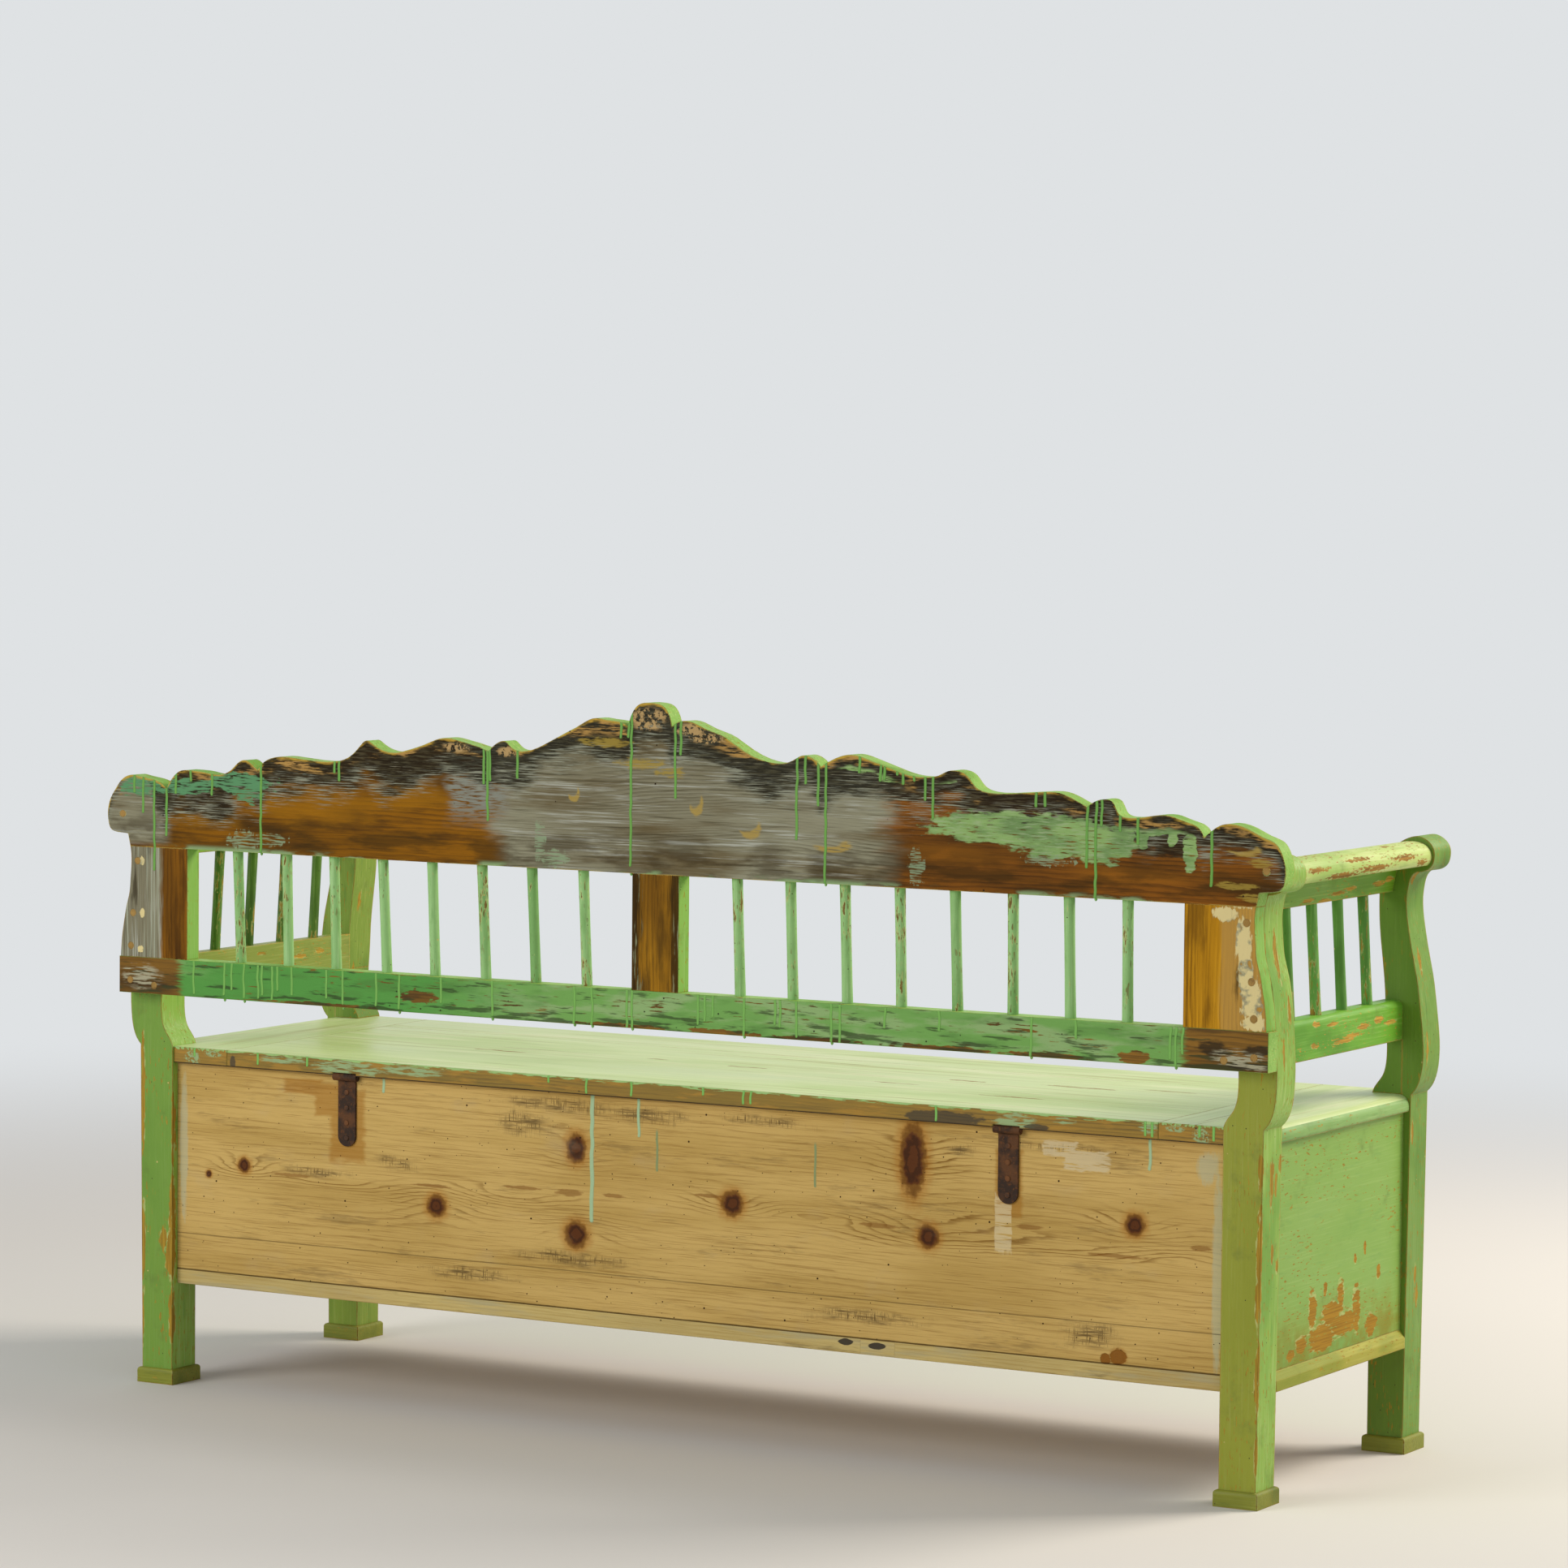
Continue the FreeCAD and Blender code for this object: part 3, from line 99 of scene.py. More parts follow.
def linear(code: str) -> tuple[float, float, float, float]:
    """Turn an sRGB hex colour into linear light.

    Args:
        code: A colour such as "#82a046".

    Returns:
        Red, green, blue and an alpha of 1.
    """
    levels = [int(code[at : at + 2], 16) / 255 for at in (1, 3, 5)]
    light = [v / 12.92 if v <= 0.04045 else ((v + 0.055) / 1.055) ** 2.4 for v in levels]
    return (light[0], light[1], light[2], 1.0)


@dataclass(frozen=True)
class Spot:
    """An oval place on a surface, in the frame of the bench."""

    centre: Triple
    radii: Triple


def on_back(places: Sequence[Oval]) -> tuple[Spot, ...]:
    """Give ovals on faces that look to the rear.

    Args:
        places: X and Z of each centre, then its half length and half height.

    Returns:
        The ovals, as deep as the bench.
    """
    return tuple(Spot((x, 0.0, z), (a, WHOLE_BENCH, b)) for x, z, a, b in places)


def on_end(side: Side, places: Sequence[Oval]) -> tuple[Spot, ...]:
    """Give ovals on faces of one end of the bench.

    Args:
        side: The end that they are on.
        places: Y and Z of each centre, then its half length and half height.

    Returns:
        The ovals, reaching a short way in from the outer face.
    """
    middle, reach = 890.0, 60.0
    return tuple(Spot((side.sign * middle, y, z), (reach, a, b)) for y, z, a, b in places)


def on_corner(side: Side, places: Sequence[Triple]) -> tuple[Spot, ...]:
    """Give narrow ovals along the outer rear corner of a rear leg.

    Args:
        side: The end that the leg stands at.
        places: Z of each centre, half its height, and how far it reaches round the corner.

    Returns:
        The ovals.
    """
    corner = side.sign * LEG_OUTER
    return tuple(Spot((corner, LEG_REAR, z), (reach, reach, high)) for z, high, reach in places)


def add_object(name: str, data: bpy.types.ID) -> bpy.types.Object:
    """Make an object of a mesh, a lamp or a camera, and put it into the scene.

    Args:
        name: Its name.
        data: The mesh, the lamp or the camera.

    Returns:
        The new object.
    """
    made = bpy.data.objects.new(name, data)
    bpy.context.scene.collection.objects.link(made)
    return made


class Graph:
    """A node tree, and the one way in which nodes are added to it."""

    def __init__(self, tree: bpy.types.NodeTree) -> None:
        """Take over a tree."""
        self.tree = tree

    def put(self, kind: str, *values: Value, **named: Value) -> bpy.types.Node:
        """Add a node with its settings and links.

        Args:
            kind: The node's type, without its leading ShaderNode.
            values: Values or sources of its inputs, in their order.
            named: A name with a capital is an input's name, and any other is a setting.

        Returns:
            The new node.
        """
        node = self.tree.nodes.new("ShaderNode" + kind)
        given: dict[Union[int, str], Value] = dict(enumerate(values))
        for word, value in named.items():
            if word[0].isupper():
                given[word] = value
            else:
                setattr(node, word, value)
        self.feed(node, given)
        return node

    def feed(self, node: bpy.types.Node, given: Mapping[Union[int, str], Value]) -> None:
        """Set inputs of a node, or link them to their sources.

        Args:
            node: The node.
            given: What each input gets, by its number or name. A node gives its first output.
        """
        for slot, value in given.items():
            if isinstance(value, bpy.types.Node):
                value = next(socket for socket in value.outputs if socket.enabled)
            if isinstance(value, bpy.types.NodeSocket):
                self.tree.links.new(value, node.inputs[slot])
            elif value is not None:
                node.inputs[slot].default_value = linear(value) if isinstance(value, str) else value


class Shade(Graph):
    """One material's node tree, and the patterns that its finish is made of."""

    def __init__(self, name: str) -> None:
        """Start a material with a plain surface shader.

        Args:
            name: The material's name.
        """
        self.material = bpy.data.materials.new(name)
        self.material.use_nodes = True
        super().__init__(self.material.node_tree)
        self.surface = self.tree.nodes["Principled BSDF"]
        coordinates = self.put("TexCoord")
        self.place = coordinates.outputs["Object"]
        self.facing = coordinates.outputs["Normal"]
        self.x, _, self.z = self.put("SeparateXYZ", self.place).outputs
        self.rounded: Value = None
        self.sharpness: Value = None

    def streaks(self, along: Way, long: float, wide: float, detail: float = 3.0,
                seed: float = 0.0) -> Value:
        """Give a noise that is drawn out along one axis.

        Args:
            along: The axis that it follows.
            long: Length of a streak in millimetres.
            wide: Width of a streak in millimetres.
            detail: How many finer layers it has.
            seed: Shifts the noise, so that two of them differ.

        Returns:
            A source from 0 to 1.
        """
        scale = [(1 / long if share else 1 / wide) / MM for share in along.value]
        shift = (seed, 1.7 * seed, 2.3 * seed)
        spread = self.put("VectorMath", self.place, scale, shift, operation="MULTIPLY_ADD")
        return self.put("TexNoise", spread, Scale=1.0, Detail=detail, Roughness=0.55)

    def mask(self, value: Value, low: float, high: float, top: float = 1.0) -> Value:
        """Give a soft-edged mask.

        Args:
            value: The source that it is cut from.
            low: The level where the mask starts from 0.
            high: The level where it is whole.
            top: Its strength there.

        Returns:
            A source from 0 to top.
        """
        return self.put("MapRange", value, low, high, 0.0, top, interpolation_type="SMOOTHSTEP")

    def fold(self, operation: str, *values: Value) -> Value:
        """Join values one after another with the same operation.

        Args:
            operation: The operation.
            values: The values or sources, in their order.

        Returns:
            A source of the result.
        """
        joined = values[0]
        for value in values[1:]:
            joined = self.put("Math", joined, value, operation=operation)
        return joined

    def all_of(self, *masks: Value) -> Value:
        """Give the part that several masks share."""
        return self.fold("MULTIPLY", *masks)

    def any_of(self, *masks: Value) -> Value:
        """Give the reach of several masks together."""
        return self.fold("MAXIMUM", *masks)

    def outside(self, mask: Value) -> Value:
        """Give what a mask leaves out."""
        return self.put("Math", 1.0, mask, operation="SUBTRACT")

    def share(self, mask: Value, part: float) -> Value:
        """Thin a mask to a part of its strength."""
        return self.put("Math", mask, part, operation="MULTIPLY")

    def looking(self, direction: Triple) -> Value:
        """Give a mask of the faces that look in one direction of the bench."""
        turned = self.put("VectorMath", self.facing, direction, operation="DOT_PRODUCT")
        return self.mask(turned, 0.62, 0.78)

    def way_from(self, centre: Triple, radii: Triple) -> Value:
        """Give the way from a place, as shares of three radii. All are in millimetres."""
        shift = self.put("VectorMath", self.place, [v * MM for v in centre], operation="SUBTRACT")
        return self.put("VectorMath", shift, [1 / (v * MM) for v in radii], operation="MULTIPLY")

    def spots(self, spots: Sequence[Spot], ragged: float, grain: Way, size: float = 14.0,
              soft: float = 0.18, square: bool = False) -> Value:
        """Give a mask of ovals with torn outlines.

        Args:
            spots: The ovals.
            ragged: How far their outlines wander, as a share of their radii.
            grain: The axis that the tears follow.
            size: Width of a tear in millimetres.
            soft: Width of the fading edge, as a share of their radii.
            square: Whether they are oblongs on a rear face instead.

        Returns:
            A mask that is 1 inside the ovals.
        """
        tear_stretch, rim = 3.2, 1.06
        away: list[Value] = [FAR]
        for spot in spots:
            way = self.way_from(spot.centre, spot.radii)
            if square:
                x, _, z = self.put("SeparateXYZ", self.put("VectorMath", way, operation="ABSOLUTE")).outputs
                away.append(self.put("Math", x, z, operation="MAXIMUM"))
            else:
                away.append(self.put("VectorMath", way, operation="LENGTH"))
        nearest = self.fold("MINIMUM", *away)
        tear = self.streaks(grain, tear_stretch * size, size, detail=4.0, seed=len(spots) + 0.37)
        torn = self.put("Math", tear, -2.0 * ragged, nearest, operation="MULTIPLY_ADD")
        return self.mask(torn, rim - ragged, rim - soft - ragged)

    def runs(self, ends: Sequence[Pair], half_width: float, top: Value = None) -> Value:
        """Give a mask of paint runs that hang down a rear face.

        Args:
            ends: X and Z of each run's lowest drop.
            half_width: Half the width of a run in millimetres.
            top: A mask that ends the runs at their upper end, if any.

        Returns:
            A mask that is 1 along the middle of each run.
        """
        sway_width, core = 5.0, 0.45
        sway = self.streaks(Way.X, 60.0, 26.0, detail=1.0, seed=4.1)
        drift = self.share(self.put("Math", sway, -0.5, operation="ADD"), sway_width * MM)
        place = self.put("VectorMath", self.place, self.put("CombineXYZ", drift, 0.0, 0.0), operation="ADD")
        away: list[Value] = [FAR]
        for x, z in ends:
            shift = self.put("VectorMath", place, (x * MM, 0.0, z * MM), operation="SUBTRACT")
            below = self.put("VectorMath", shift, (WHOLE_BENCH, 0.0, 0.0), operation="MINIMUM")
            flat = self.put("VectorMath", below, (1.0, 0.0, 1.0), operation="MULTIPLY")
            away.append(self.put("VectorMath", flat, operation="LENGTH"))
        mask = self.mask(self.fold("MINIMUM", *away), half_width * MM, core * half_width * MM)
        return mask if top is None else self.all_of(mask, top)

    def dots(self, spacing: float, radius: float, share: float, seed: float = 0.0) -> Value:
        """Give a mask of small round marks, such as worm holes and nail holes.

        Args:
            spacing: Mean distance between two places in millimetres.
            radius: Radius of a mark in millimetres.
            share: Share of the places that hold a mark, from 0 to 1.
            seed: Shifts the places.

        Returns:
            A mask that is 1 in each mark.
        """
        shifted = self.put("VectorMath", self.place, (seed, seed, seed), operation="ADD")
        cells = self.put("TexVoronoi", shifted, Scale=1 / (spacing * MM))
        mark = self.mask(cells, radius / spacing, 0.6 * radius / spacing)
        chosen = self.put("SeparateColor", cells.outputs["Color"])
        return self.all_of(mark, self.put("Math", chosen, share, operation="LESS_THAN"))

    def above(self, height: float, soft: float) -> Value:
        """Give a mask that rises to 1 above a height, over a soft band, in millimetres."""
        return self.mask(self.z, (height - soft) * MM, (height + soft) * MM)

    def below(self, height: float, soft: float) -> Value:
        """Give a mask that falls to 0 above a height, over a soft band, in millimetres."""
        return self.mask(self.z, (height + soft) * MM, (height - soft) * MM)

    def between(self, low: float, high: float, soft: float, wander: Value = None) -> Value:
        """Give a mask of a stretch of X with soft ends.

        Args:
            low: Where it starts, in millimetres.
            high: Where it ends, in millimetres.
            soft: Half the length over which each end fades.
            wander: A source from 0 to 1 that moves both ends, if any.

        Returns:
            A mask that is 1 inside the stretch.
        """
        x: Value = self.x
        if wander is not None:
            x = self.put("Math", wander, 4.0 * soft * MM, x, operation="MULTIPLY_ADD")
            low, high = low + 2.0 * soft, high + 2.0 * soft
        rise = self.mask(x, (low - soft) * MM, (low + soft) * MM)
        fall = self.mask(x, (high + soft) * MM, (high - soft) * MM)
        return self.all_of(rise, fall)

    def soften(self, radius: float) -> Value:
        """Round the look of sharp edges, and give a mask of the edges that wear reaches first.

        Args:
            radius: Radius of the rounding in millimetres.

        Returns:
            A mask that is 1 on the sharpest edges.
        """
        if self.sharpness is None:
            self.rounded = self.put("Bevel", radius * MM, samples=6)
            flat = self.put("NewGeometry").outputs["Normal"]
            turn = self.put("VectorMath", self.rounded, flat, operation="DOT_PRODUCT")
            self.sharpness = self.mask(turn, 0.998, 0.86)
        return self.sharpness


@dataclass
class Skin:
    """The colour, roughness and relief of a surface while its layers go on, one over another."""

    shade: Shade
    colour: Value
    rough: Value
    relief: Value

    def lay(self, mask: Value, colour: Value, rough: Value = None, lift: float = 0.0) -> None:
        """Lay one layer over what is there.

        Args:
            mask: Where it lies, from 0 to 1.
            colour: Its colour.
            rough: Its roughness, or nothing to keep what is there.
            lift: How far it stands out, in millimetres.
        """
        self.colour = self.shade.put("MixRGB", mask, self.colour, colour)
        if rough is not None:
            self.rough = self.shade.put("Mix", mask, None, self.rough, rough)
        if lift:
            self.relief = self.shade.put("Math", mask, lift, self.relief, operation="MULTIPLY_ADD")

    def over(self, mask: Value, other: "Skin") -> None:
        """Lay another whole surface over this one.

        Args:
            mask: Where the other surface lies.
            other: The surface that goes on top.
        """
        self.colour = self.shade.put("MixRGB", mask, self.colour, other.colour)
        self.rough = self.shade.put("Mix", mask, None, self.rough, other.rough)
        self.relief = self.shade.put("Mix", mask, None, self.relief, other.relief)

    def close(self, specular: float = 0.3) -> bpy.types.Material:
        """Join the surface to its shader.

        Args:
            specular: Strength of its plain reflection.

        Returns:
            The finished material.
        """
        shade = self.shade
        bump = shade.put("Bump", Strength=1.0, Distance=MM, Height=self.relief, Normal=shade.rounded)
        shade.feed(shade.surface, {"Base Color": self.colour, "Roughness": self.rough, "Normal": bump,
                                   "Specular IOR Level": specular})
        return shade.material


@dataclass(frozen=True)
class Eye:
    """A place where the year rings close round a knot or run out in a flame."""

    x: float
    z: float
    half_length: float
    half_height: float
    rings: float


@dataclass(frozen=True)
class Knot:
    """A dark knot of a branch."""

    x: float
    z: float
    radius: float
    stretch: float = 1.0


@dataclass(frozen=True)
class Pine:
    """Sawn pine: pale summer wood between darker, harder winter rings, which stand out a little."""

    early: str = "#c8a765"
    late: str = "#94682f"
    aged: str = "#a98f5b"
    along: Way = Way.X
    across: Triple = (0.0, 0.35, 1.0)
    ring: float = 7.5
    flame: float = 5.0
    shine: float = 0.72
    contrast: float = 0.7
    line_start: float = 0.3
    calm: float = 0.0
    eyes: tuple[Eye, ...] = ()
    knots: tuple[Knot, ...] = ()
    knot_heart: str = "#5a3216"
    knot_rim: str = "#5f3a14"
    knot_halo: str = "#a96f24"

    def skin(self, shade: Shade, seed: float = 0.0) -> Skin:
        """Give the bare wood as a surface.

        Args:
            shade: The material that it is for.
            seed: Shifts its pattern.

        Returns:
            The surface.
        """
        scale = [v / (self.ring * MM) for v in self.across]
        rows = shade.put("VectorMath", shade.place, scale, operation="DOT_PRODUCT")
        bend = shade.streaks(self.along, 620.0, 85.0, detail=2.0, seed=seed + 0.3)
        rings = shade.put("Math", bend, self.flame, rows, operation="MULTIPLY_ADD")
        fades: list[Value] = [0.0]
        for eye in self.eyes:
            way = shade.way_from((eye.x, 0.0, eye.z), (eye.half_length, math.inf, eye.half_height))
            square = shade.put("VectorMath", way, way, operation="DOT_PRODUCT")
            fade = shade.put("Math", shade.share(square, -1.0), operation="EXPONENT")
            rings = shade.put("Math", fade, eye.rings, rings, operation="MULTIPLY_ADD")
            fades.append(fade)
        waver = shade.streaks(self.along, 90.0, 11.0, seed=seed + 7.9)
        rings = shade.put("Math", waver, 1.3, rings, operation="MULTIPLY_ADD")
        ring = shade.put("Math", rings, operation="FRACT")
        line = shade.all_of(shade.mask(ring, self.line_start, 0.92), shade.mask(ring, 1.0, 0.93))
        faint = shade.mask(shade.streaks(self.along, 330.0, 30.0, seed=seed + 2.6), 0.36, 0.66)
        line = shade.all_of(line, shade.put("MapRange", faint, 0.0, 1.0, 0.1, self.contrast))
        if self.calm:
            figure = shade.any_of(*fades)
            line = shade.all_of(line, shade.put("MapRange", figure, 0.02, 0.4, 1.0 - self.calm, 1.0))
        # Pine's fibres are well under 0.3 mm wide. They are drawn 1.3 mm wide, so that they show.
        fibre = shade.streaks(self.along, 70.0, 1.3, seed=seed + 5.2)
        tone = shade.mask(shade.streaks(self.along, 420.0, 70.0, seed=seed + 1.1), 0.38, 0.66)
        colour = shade.put("MixRGB", tone, self.early, self.aged)
        skin = Skin(shade, colour, self.shine, shade.share(fibre, 0.16))
        skin.lay(line, self.late, lift=0.04)
        skin.lay(shade.mask(fibre, 0.5, 0.74, 0.5), self.late)
        skin.lay(shade.mask(fibre, 0.45, 0.22, 0.4), self.early)
        if self.knots:
            self.add_knots(skin)
        return skin

    def add_knots(self, skin: Skin) -> None:
        """Lay the knots, each with a dark heart, a resin halo and fine cracks.

        Args:
            skin: The surface.
        """
        shade = skin.shade
        away: list[Value] = [FAR]
        for knot in self.knots:
            way = shade.way_from((knot.x, 0.0, knot.z), (knot.radius, math.inf, knot.radius * knot.stretch))
            away.append(shade.put("VectorMath", way, operation="LENGTH"))
        nearest = shade.fold("MINIMUM", *away)
        tear = shade.put("TexNoise", shade.place, Scale=1 / (9 * MM), Detail=4.0)
        torn = shade.put("Math", tear, 0.9, nearest, operation="MULTIPLY_ADD")
        skin.lay(shade.mask(torn, 2.9, 1.5, 0.7), self.knot_halo)
        swirl = shade.put("Math", shade.share(torn, 7.0), operation="SINE")
        skin.lay(shade.mask(torn, 2.05, 1.6, 0.75), self.knot_rim)
        heart = shade.mask(torn, 1.6, 1.3)
        skin.lay(heart, self.knot_heart, rough=0.5, lift=0.3)
        skin.lay(shade.all_of(heart, shade.mask(swirl, 0.1, 1.0, 0.6)), "#2e1a0d")


@dataclass(frozen=True)
class OilPaint:
    """Linseed oil paint brushed on pine: strokes along the grain, worn to the wood at its edges."""

    name: str
    coats: Coats = ("#84ac55", "#9dbd73", "#648f3d")
    bare: str = "#b08c2c"
    shadow: str = "#7c611c"
    primer: str = "#c3c27c"
    along: Way = Way.Z
    wear: float = 0.5
    edge: float = 3.0
    chips: float = 0.3
    nicks: float = 0.8
    spots: tuple[Spot, ...] = ()
    tear: float = 5.0
    soil: str = ""
    soil_height: float = 0.0
    brush_relief: float = 0.4
    rear_coat: str = ""
    unpainted: tuple[Triple, ...] = ()
    wood: Pine = Pine()
    seed: float = 0.0

    def skin(self, shade: Shade) -> Skin:
        """Give the worn paint as a surface.

        Args:
            shade: The material that it is for.

        Returns:
            The surface.
        """
        # A brush's bristle marks are under 1 mm wide. They are drawn 2.6 mm wide, so that they show.
        brush = shade.streaks(self.along, 95.0, 2.6, seed=self.seed + 0.8)
        cloud = shade.streaks(self.along, 210.0, 90.0, seed=self.seed + 3.3)
        full, thin, deep = self.coats
        rough = shade.put("MapRange", cloud, 0.3, 0.7, 0.38, 0.56)
        skin = Skin(shade, full, rough, shade.share(brush, self.brush_relief))
        skin.lay(shade.mask(brush, 0.48, 0.74, 0.7), thin)
        skin.lay(shade.mask(cloud, 0.48, 0.68, 0.7), deep)
        drag = shade.streaks(self.along, 60.0, 9.0, detail=5.0, seed=self.seed + 7.2)
        skin.lay(shade.mask(drag, 0.56, 0.7, 0.45), deep)
        if self.rear_coat:
            skin.lay(shade.share(shade.looking(REARWARD), 0.75), self.rear_coat)
        grime = shade.put("TexNoise", shade.place, Scale=1 / (46 * MM), Detail=6.0, Roughness=0.62)
        skin.lay(shade.mask(grime, 0.54, 0.8, 0.5), "#5d6b2e", rough=0.7)
        skin.lay(shade.dots(11.0, 1.1, 0.3, seed=self.seed), "#4c4a24", rough=0.8)
        skin.lay(shade.dots(19.0, 1.7, 0.22, seed=self.seed + 0.05), "#c3b56a", rough=0.8, lift=-0.1)
        if self.soil:
            low = shade.all_of(shade.below(self.soil_height, 40.0), shade.mask(grime, 0.3, 0.6, 0.7))
            skin.lay(low, self.soil, rough=0.7)
        self.wear_down(skin)
        return skin

    def wear_down(self, skin: Skin) -> None:
        """Wear the paint through to the primer and the wood, at its edges first.

        Args:
            skin: The surface.
        """
        shade = skin.shade
        rubbed = shade.soften(self.edge)
        ragged = shade.streaks(self.along, 22.0, 4.5, detail=5.0, seed=self.seed + 9.4)
        broad = shade.streaks(self.along, 170.0, 50.0, seed=self.seed + 6.1)
        uneven = shade.put("Math", broad, 0.7, ragged, operation="MULTIPLY_ADD")
        level = 1.18 - 0.42 * self.wear
        edges = shade.all_of(rubbed, shade.mask(uneven, level - 0.3, level))
        chip_level = 1.36 - 0.3 * self.chips
        chips = shade.mask(uneven, chip_level, chip_level + 0.05)
        rims = shade.mask(uneven, chip_level - 0.05, chip_level)
        edge_rims = shade.all_of(shade.mask(rubbed, 0.0, 0.4), shade.mask(uneven, level - 0.38, level - 0.2))
        nicks = shade.streaks(self.along, 13.0, 3.0, detail=1.0, seed=self.seed + 11.7)
        knocked = shade.all_of(shade.mask(nicks, 0.645, 0.675), shade.mask(broad, 0.42, 0.54))
        worn = shade.any_of(edges, chips, shade.share(knocked, self.nicks))
        primed = shade.any_of(edge_rims, rims)
        if self.spots:
            patches = shade.spots(self.spots, 0.95, self.along, size=self.tear)
            halo = shade.spots(self.spots, 1.1, self.along, size=2.0 * self.tear)
            worn = shade.any_of(worn, shade.all_of(patches, shade.mask(ragged, 0.28, 0.4)))
            primed = shade.any_of(primed, shade.all_of(halo, shade.mask(ragged, 0.4, 0.54)))
        grain = shade.streaks(self.along, 60.0, 1.6, seed=self.seed + 5.5)
        wood = shade.put("MixRGB", shade.mask(grain, 0.38, 0.66, 0.75), self.bare, self.shadow)
        skin.lay(shade.share(primed, 0.6), self.primer, rough=0.7, lift=-0.05)
        skin.lay(worn, wood, rough=0.8, lift=-0.2)

    def material(self) -> bpy.types.Material:
        """Make the paint's material, with bare wood on the faces that were left unpainted.

        Returns:
            The material.
        """
        shade = Shade(self.name)
        skin = self.skin(shade)
        if self.unpainted:
            open_faces = [shade.looking(direction) for direction in self.unpainted]
            skin.over(shade.any_of(0.0, *open_faces), self.wood.skin(shade, self.seed))
        return skin.close(specular=0.24)


@dataclass(frozen=True)
class RawPine:
    """Pine boards that were never painted, grey and brown with age and handling."""

    name: str
    wood: Pine = Pine()
    soil: float = 0.5
    board: float = 0.0
    boards_along: Way = Way.X
    seed: float = 0.0

    def skin(self, shade: Shade) -> Skin:
        """Give the aged boards as a surface.

        Args:
            shade: The material that it is for.

        Returns:
            The surface.
        """
        skin = self.wood.skin(shade, self.seed)
        along = self.wood.along
        smudge = shade.streaks(along, 190.0, 32.0, detail=5.0, seed=self.seed + 8.8)
        fine = shade.streaks(along, 24.0, 2.6, detail=4.0, seed=self.seed + 2.2)
        mixed = shade.put("Math", fine, 0.55, smudge, operation="MULTIPLY_ADD")
        skin.lay(shade.mask(mixed, 0.86, 1.04, 0.62 * self.soil), "#4f3f2c", rough=0.85)
        pale = shade.streaks(along, 120.0, 60.0, detail=4.0, seed=self.seed + 4.7)
        skin.lay(shade.mask(pale, 0.58, 0.78, 0.35 * self.soil), "#b7ad92", rough=0.85)
        skin.lay(shade.dots(17.0, 1.2, 0.3, seed=self.seed + 0.2), "#3b2a18", rough=0.9, lift=-0.6)
        if self.board:
            self.tell_boards_apart(skin)
        return skin

    def tell_boards_apart(self, skin: Skin) -> None:
        """Give each board of a row its own tone.

        Args:
            skin: The surface.
        """
        shade = skin.shade
        rows = shade.put("VectorMath", shade.place, self.boards_along.value, operation="DOT_PRODUCT")
        number = shade.put("Math", shade.share(rows, 1 / (self.board * MM)), operation="FLOOR")
        chance = shade.put("TexWhiteNoise", W=number, noise_dimensions="1D")
        skin.lay(shade.share(chance, 0.3), "#7c5d35")

    def material(self) -> bpy.types.Material:
        """Make the bare boards' material.

        Returns:
            The material.
        """
        shade = Shade(self.name)
        skin = self.skin(shade)
        shade.soften(1.5)
        return skin.close(specular=0.12)


@dataclass(frozen=True)
class RustyIron:
    """Forged iron strap under brown rust: dull, pitted, with a little bare metal on its edges."""

    name: str
    rust: str = "#5b3a20"
    dark: str = "#33241a"
    bright: str = "#7d5a3c"

    def material(self) -> bpy.types.Material:
        """Make the iron's material.

        Returns:
            The material.
        """
        shade = Shade(self.name)
        edges = shade.soften(0.9)
        # Rust pits are under 1 mm wide. Their noise starts at 5 mm, so that they show.
        pits = shade.put("TexNoise", shade.place, Scale=1 / (5 * MM), Detail=6.0, Roughness=0.7)
        cloud = shade.put("TexNoise", shade.place, Scale=1 / (24 * MM), Detail=3.0)
        colour = shade.put("MixRGB", shade.mask(cloud, 0.4, 0.62), self.dark, self.rust)
        skin = Skin(shade, colour, 0.72, shade.share(pits, 0.5))
        skin.lay(shade.mask(pits, 0.52, 0.7, 0.7), "#7a4a22", rough=0.85)
        skin.lay(shade.all_of(edges, shade.mask(pits, 0.4, 0.6, 0.7)), self.bright, rough=0.5)
        return skin.close(specular=0.22)


CREST_LEFT_HALF: tuple[Pair, ...] = (
    (0, 1022), (5, 1020), (17, 1002), (19, 992), (33, 1001), (55, 999), (74, 991), (99, 983), (127, 968),
    (154, 955), (182, 949), (198, 950), (212, 955), (225, 961), (240, 958), (254, 946), (273, 957),
    (300, 965), (328, 959), (359, 949), (391, 940), (415, 939), (434, 942), (449, 948), (463, 949),
    (476, 944), (491, 928), (511, 921), (557, 923), (587, 925), (616, 925), (637, 917), (655, 908),
    (667, 916), (680, 920), (692, 917), (701, 901), (718, 897), (738, 899), (758, 902), (778, 902),
    (796, 896), (813, 891), (825, 875), (839, 886), (850, 893), (869, 895), (892, 888), (911, 879),
    (928, 872), (937, 857), (942, 837),
)

CREST_RIGHT_HALF: tuple[Pair, ...] = (
    (0, 1022), (14, 1024), (34, 1022), (48, 1003), (52, 991), (66, 997), (87, 999), (106, 1000),
    (130, 990), (158, 976), (186, 963), (212, 952), (228, 951), (242, 955), (253, 964), (267, 960),
    (280, 948), (300, 955), (328, 961), (355, 965), (385, 955), (416, 946), (440, 941), (458, 944),
    (474, 951), (486, 957), (497, 950), (513, 935), (532, 927), (549, 924), (578, 925), (608, 927),
    (637, 928), (659, 923), (674, 908), (686, 916), (697, 922), (709, 918), (722, 906), (737, 899),
    (756, 899), (775, 902), (793, 903), (811, 902), (825, 892), (837, 875), (849, 884), (861, 888),
    (879, 890), (900, 893), (916, 886), (928, 872), (937, 857), (942, 837),
)

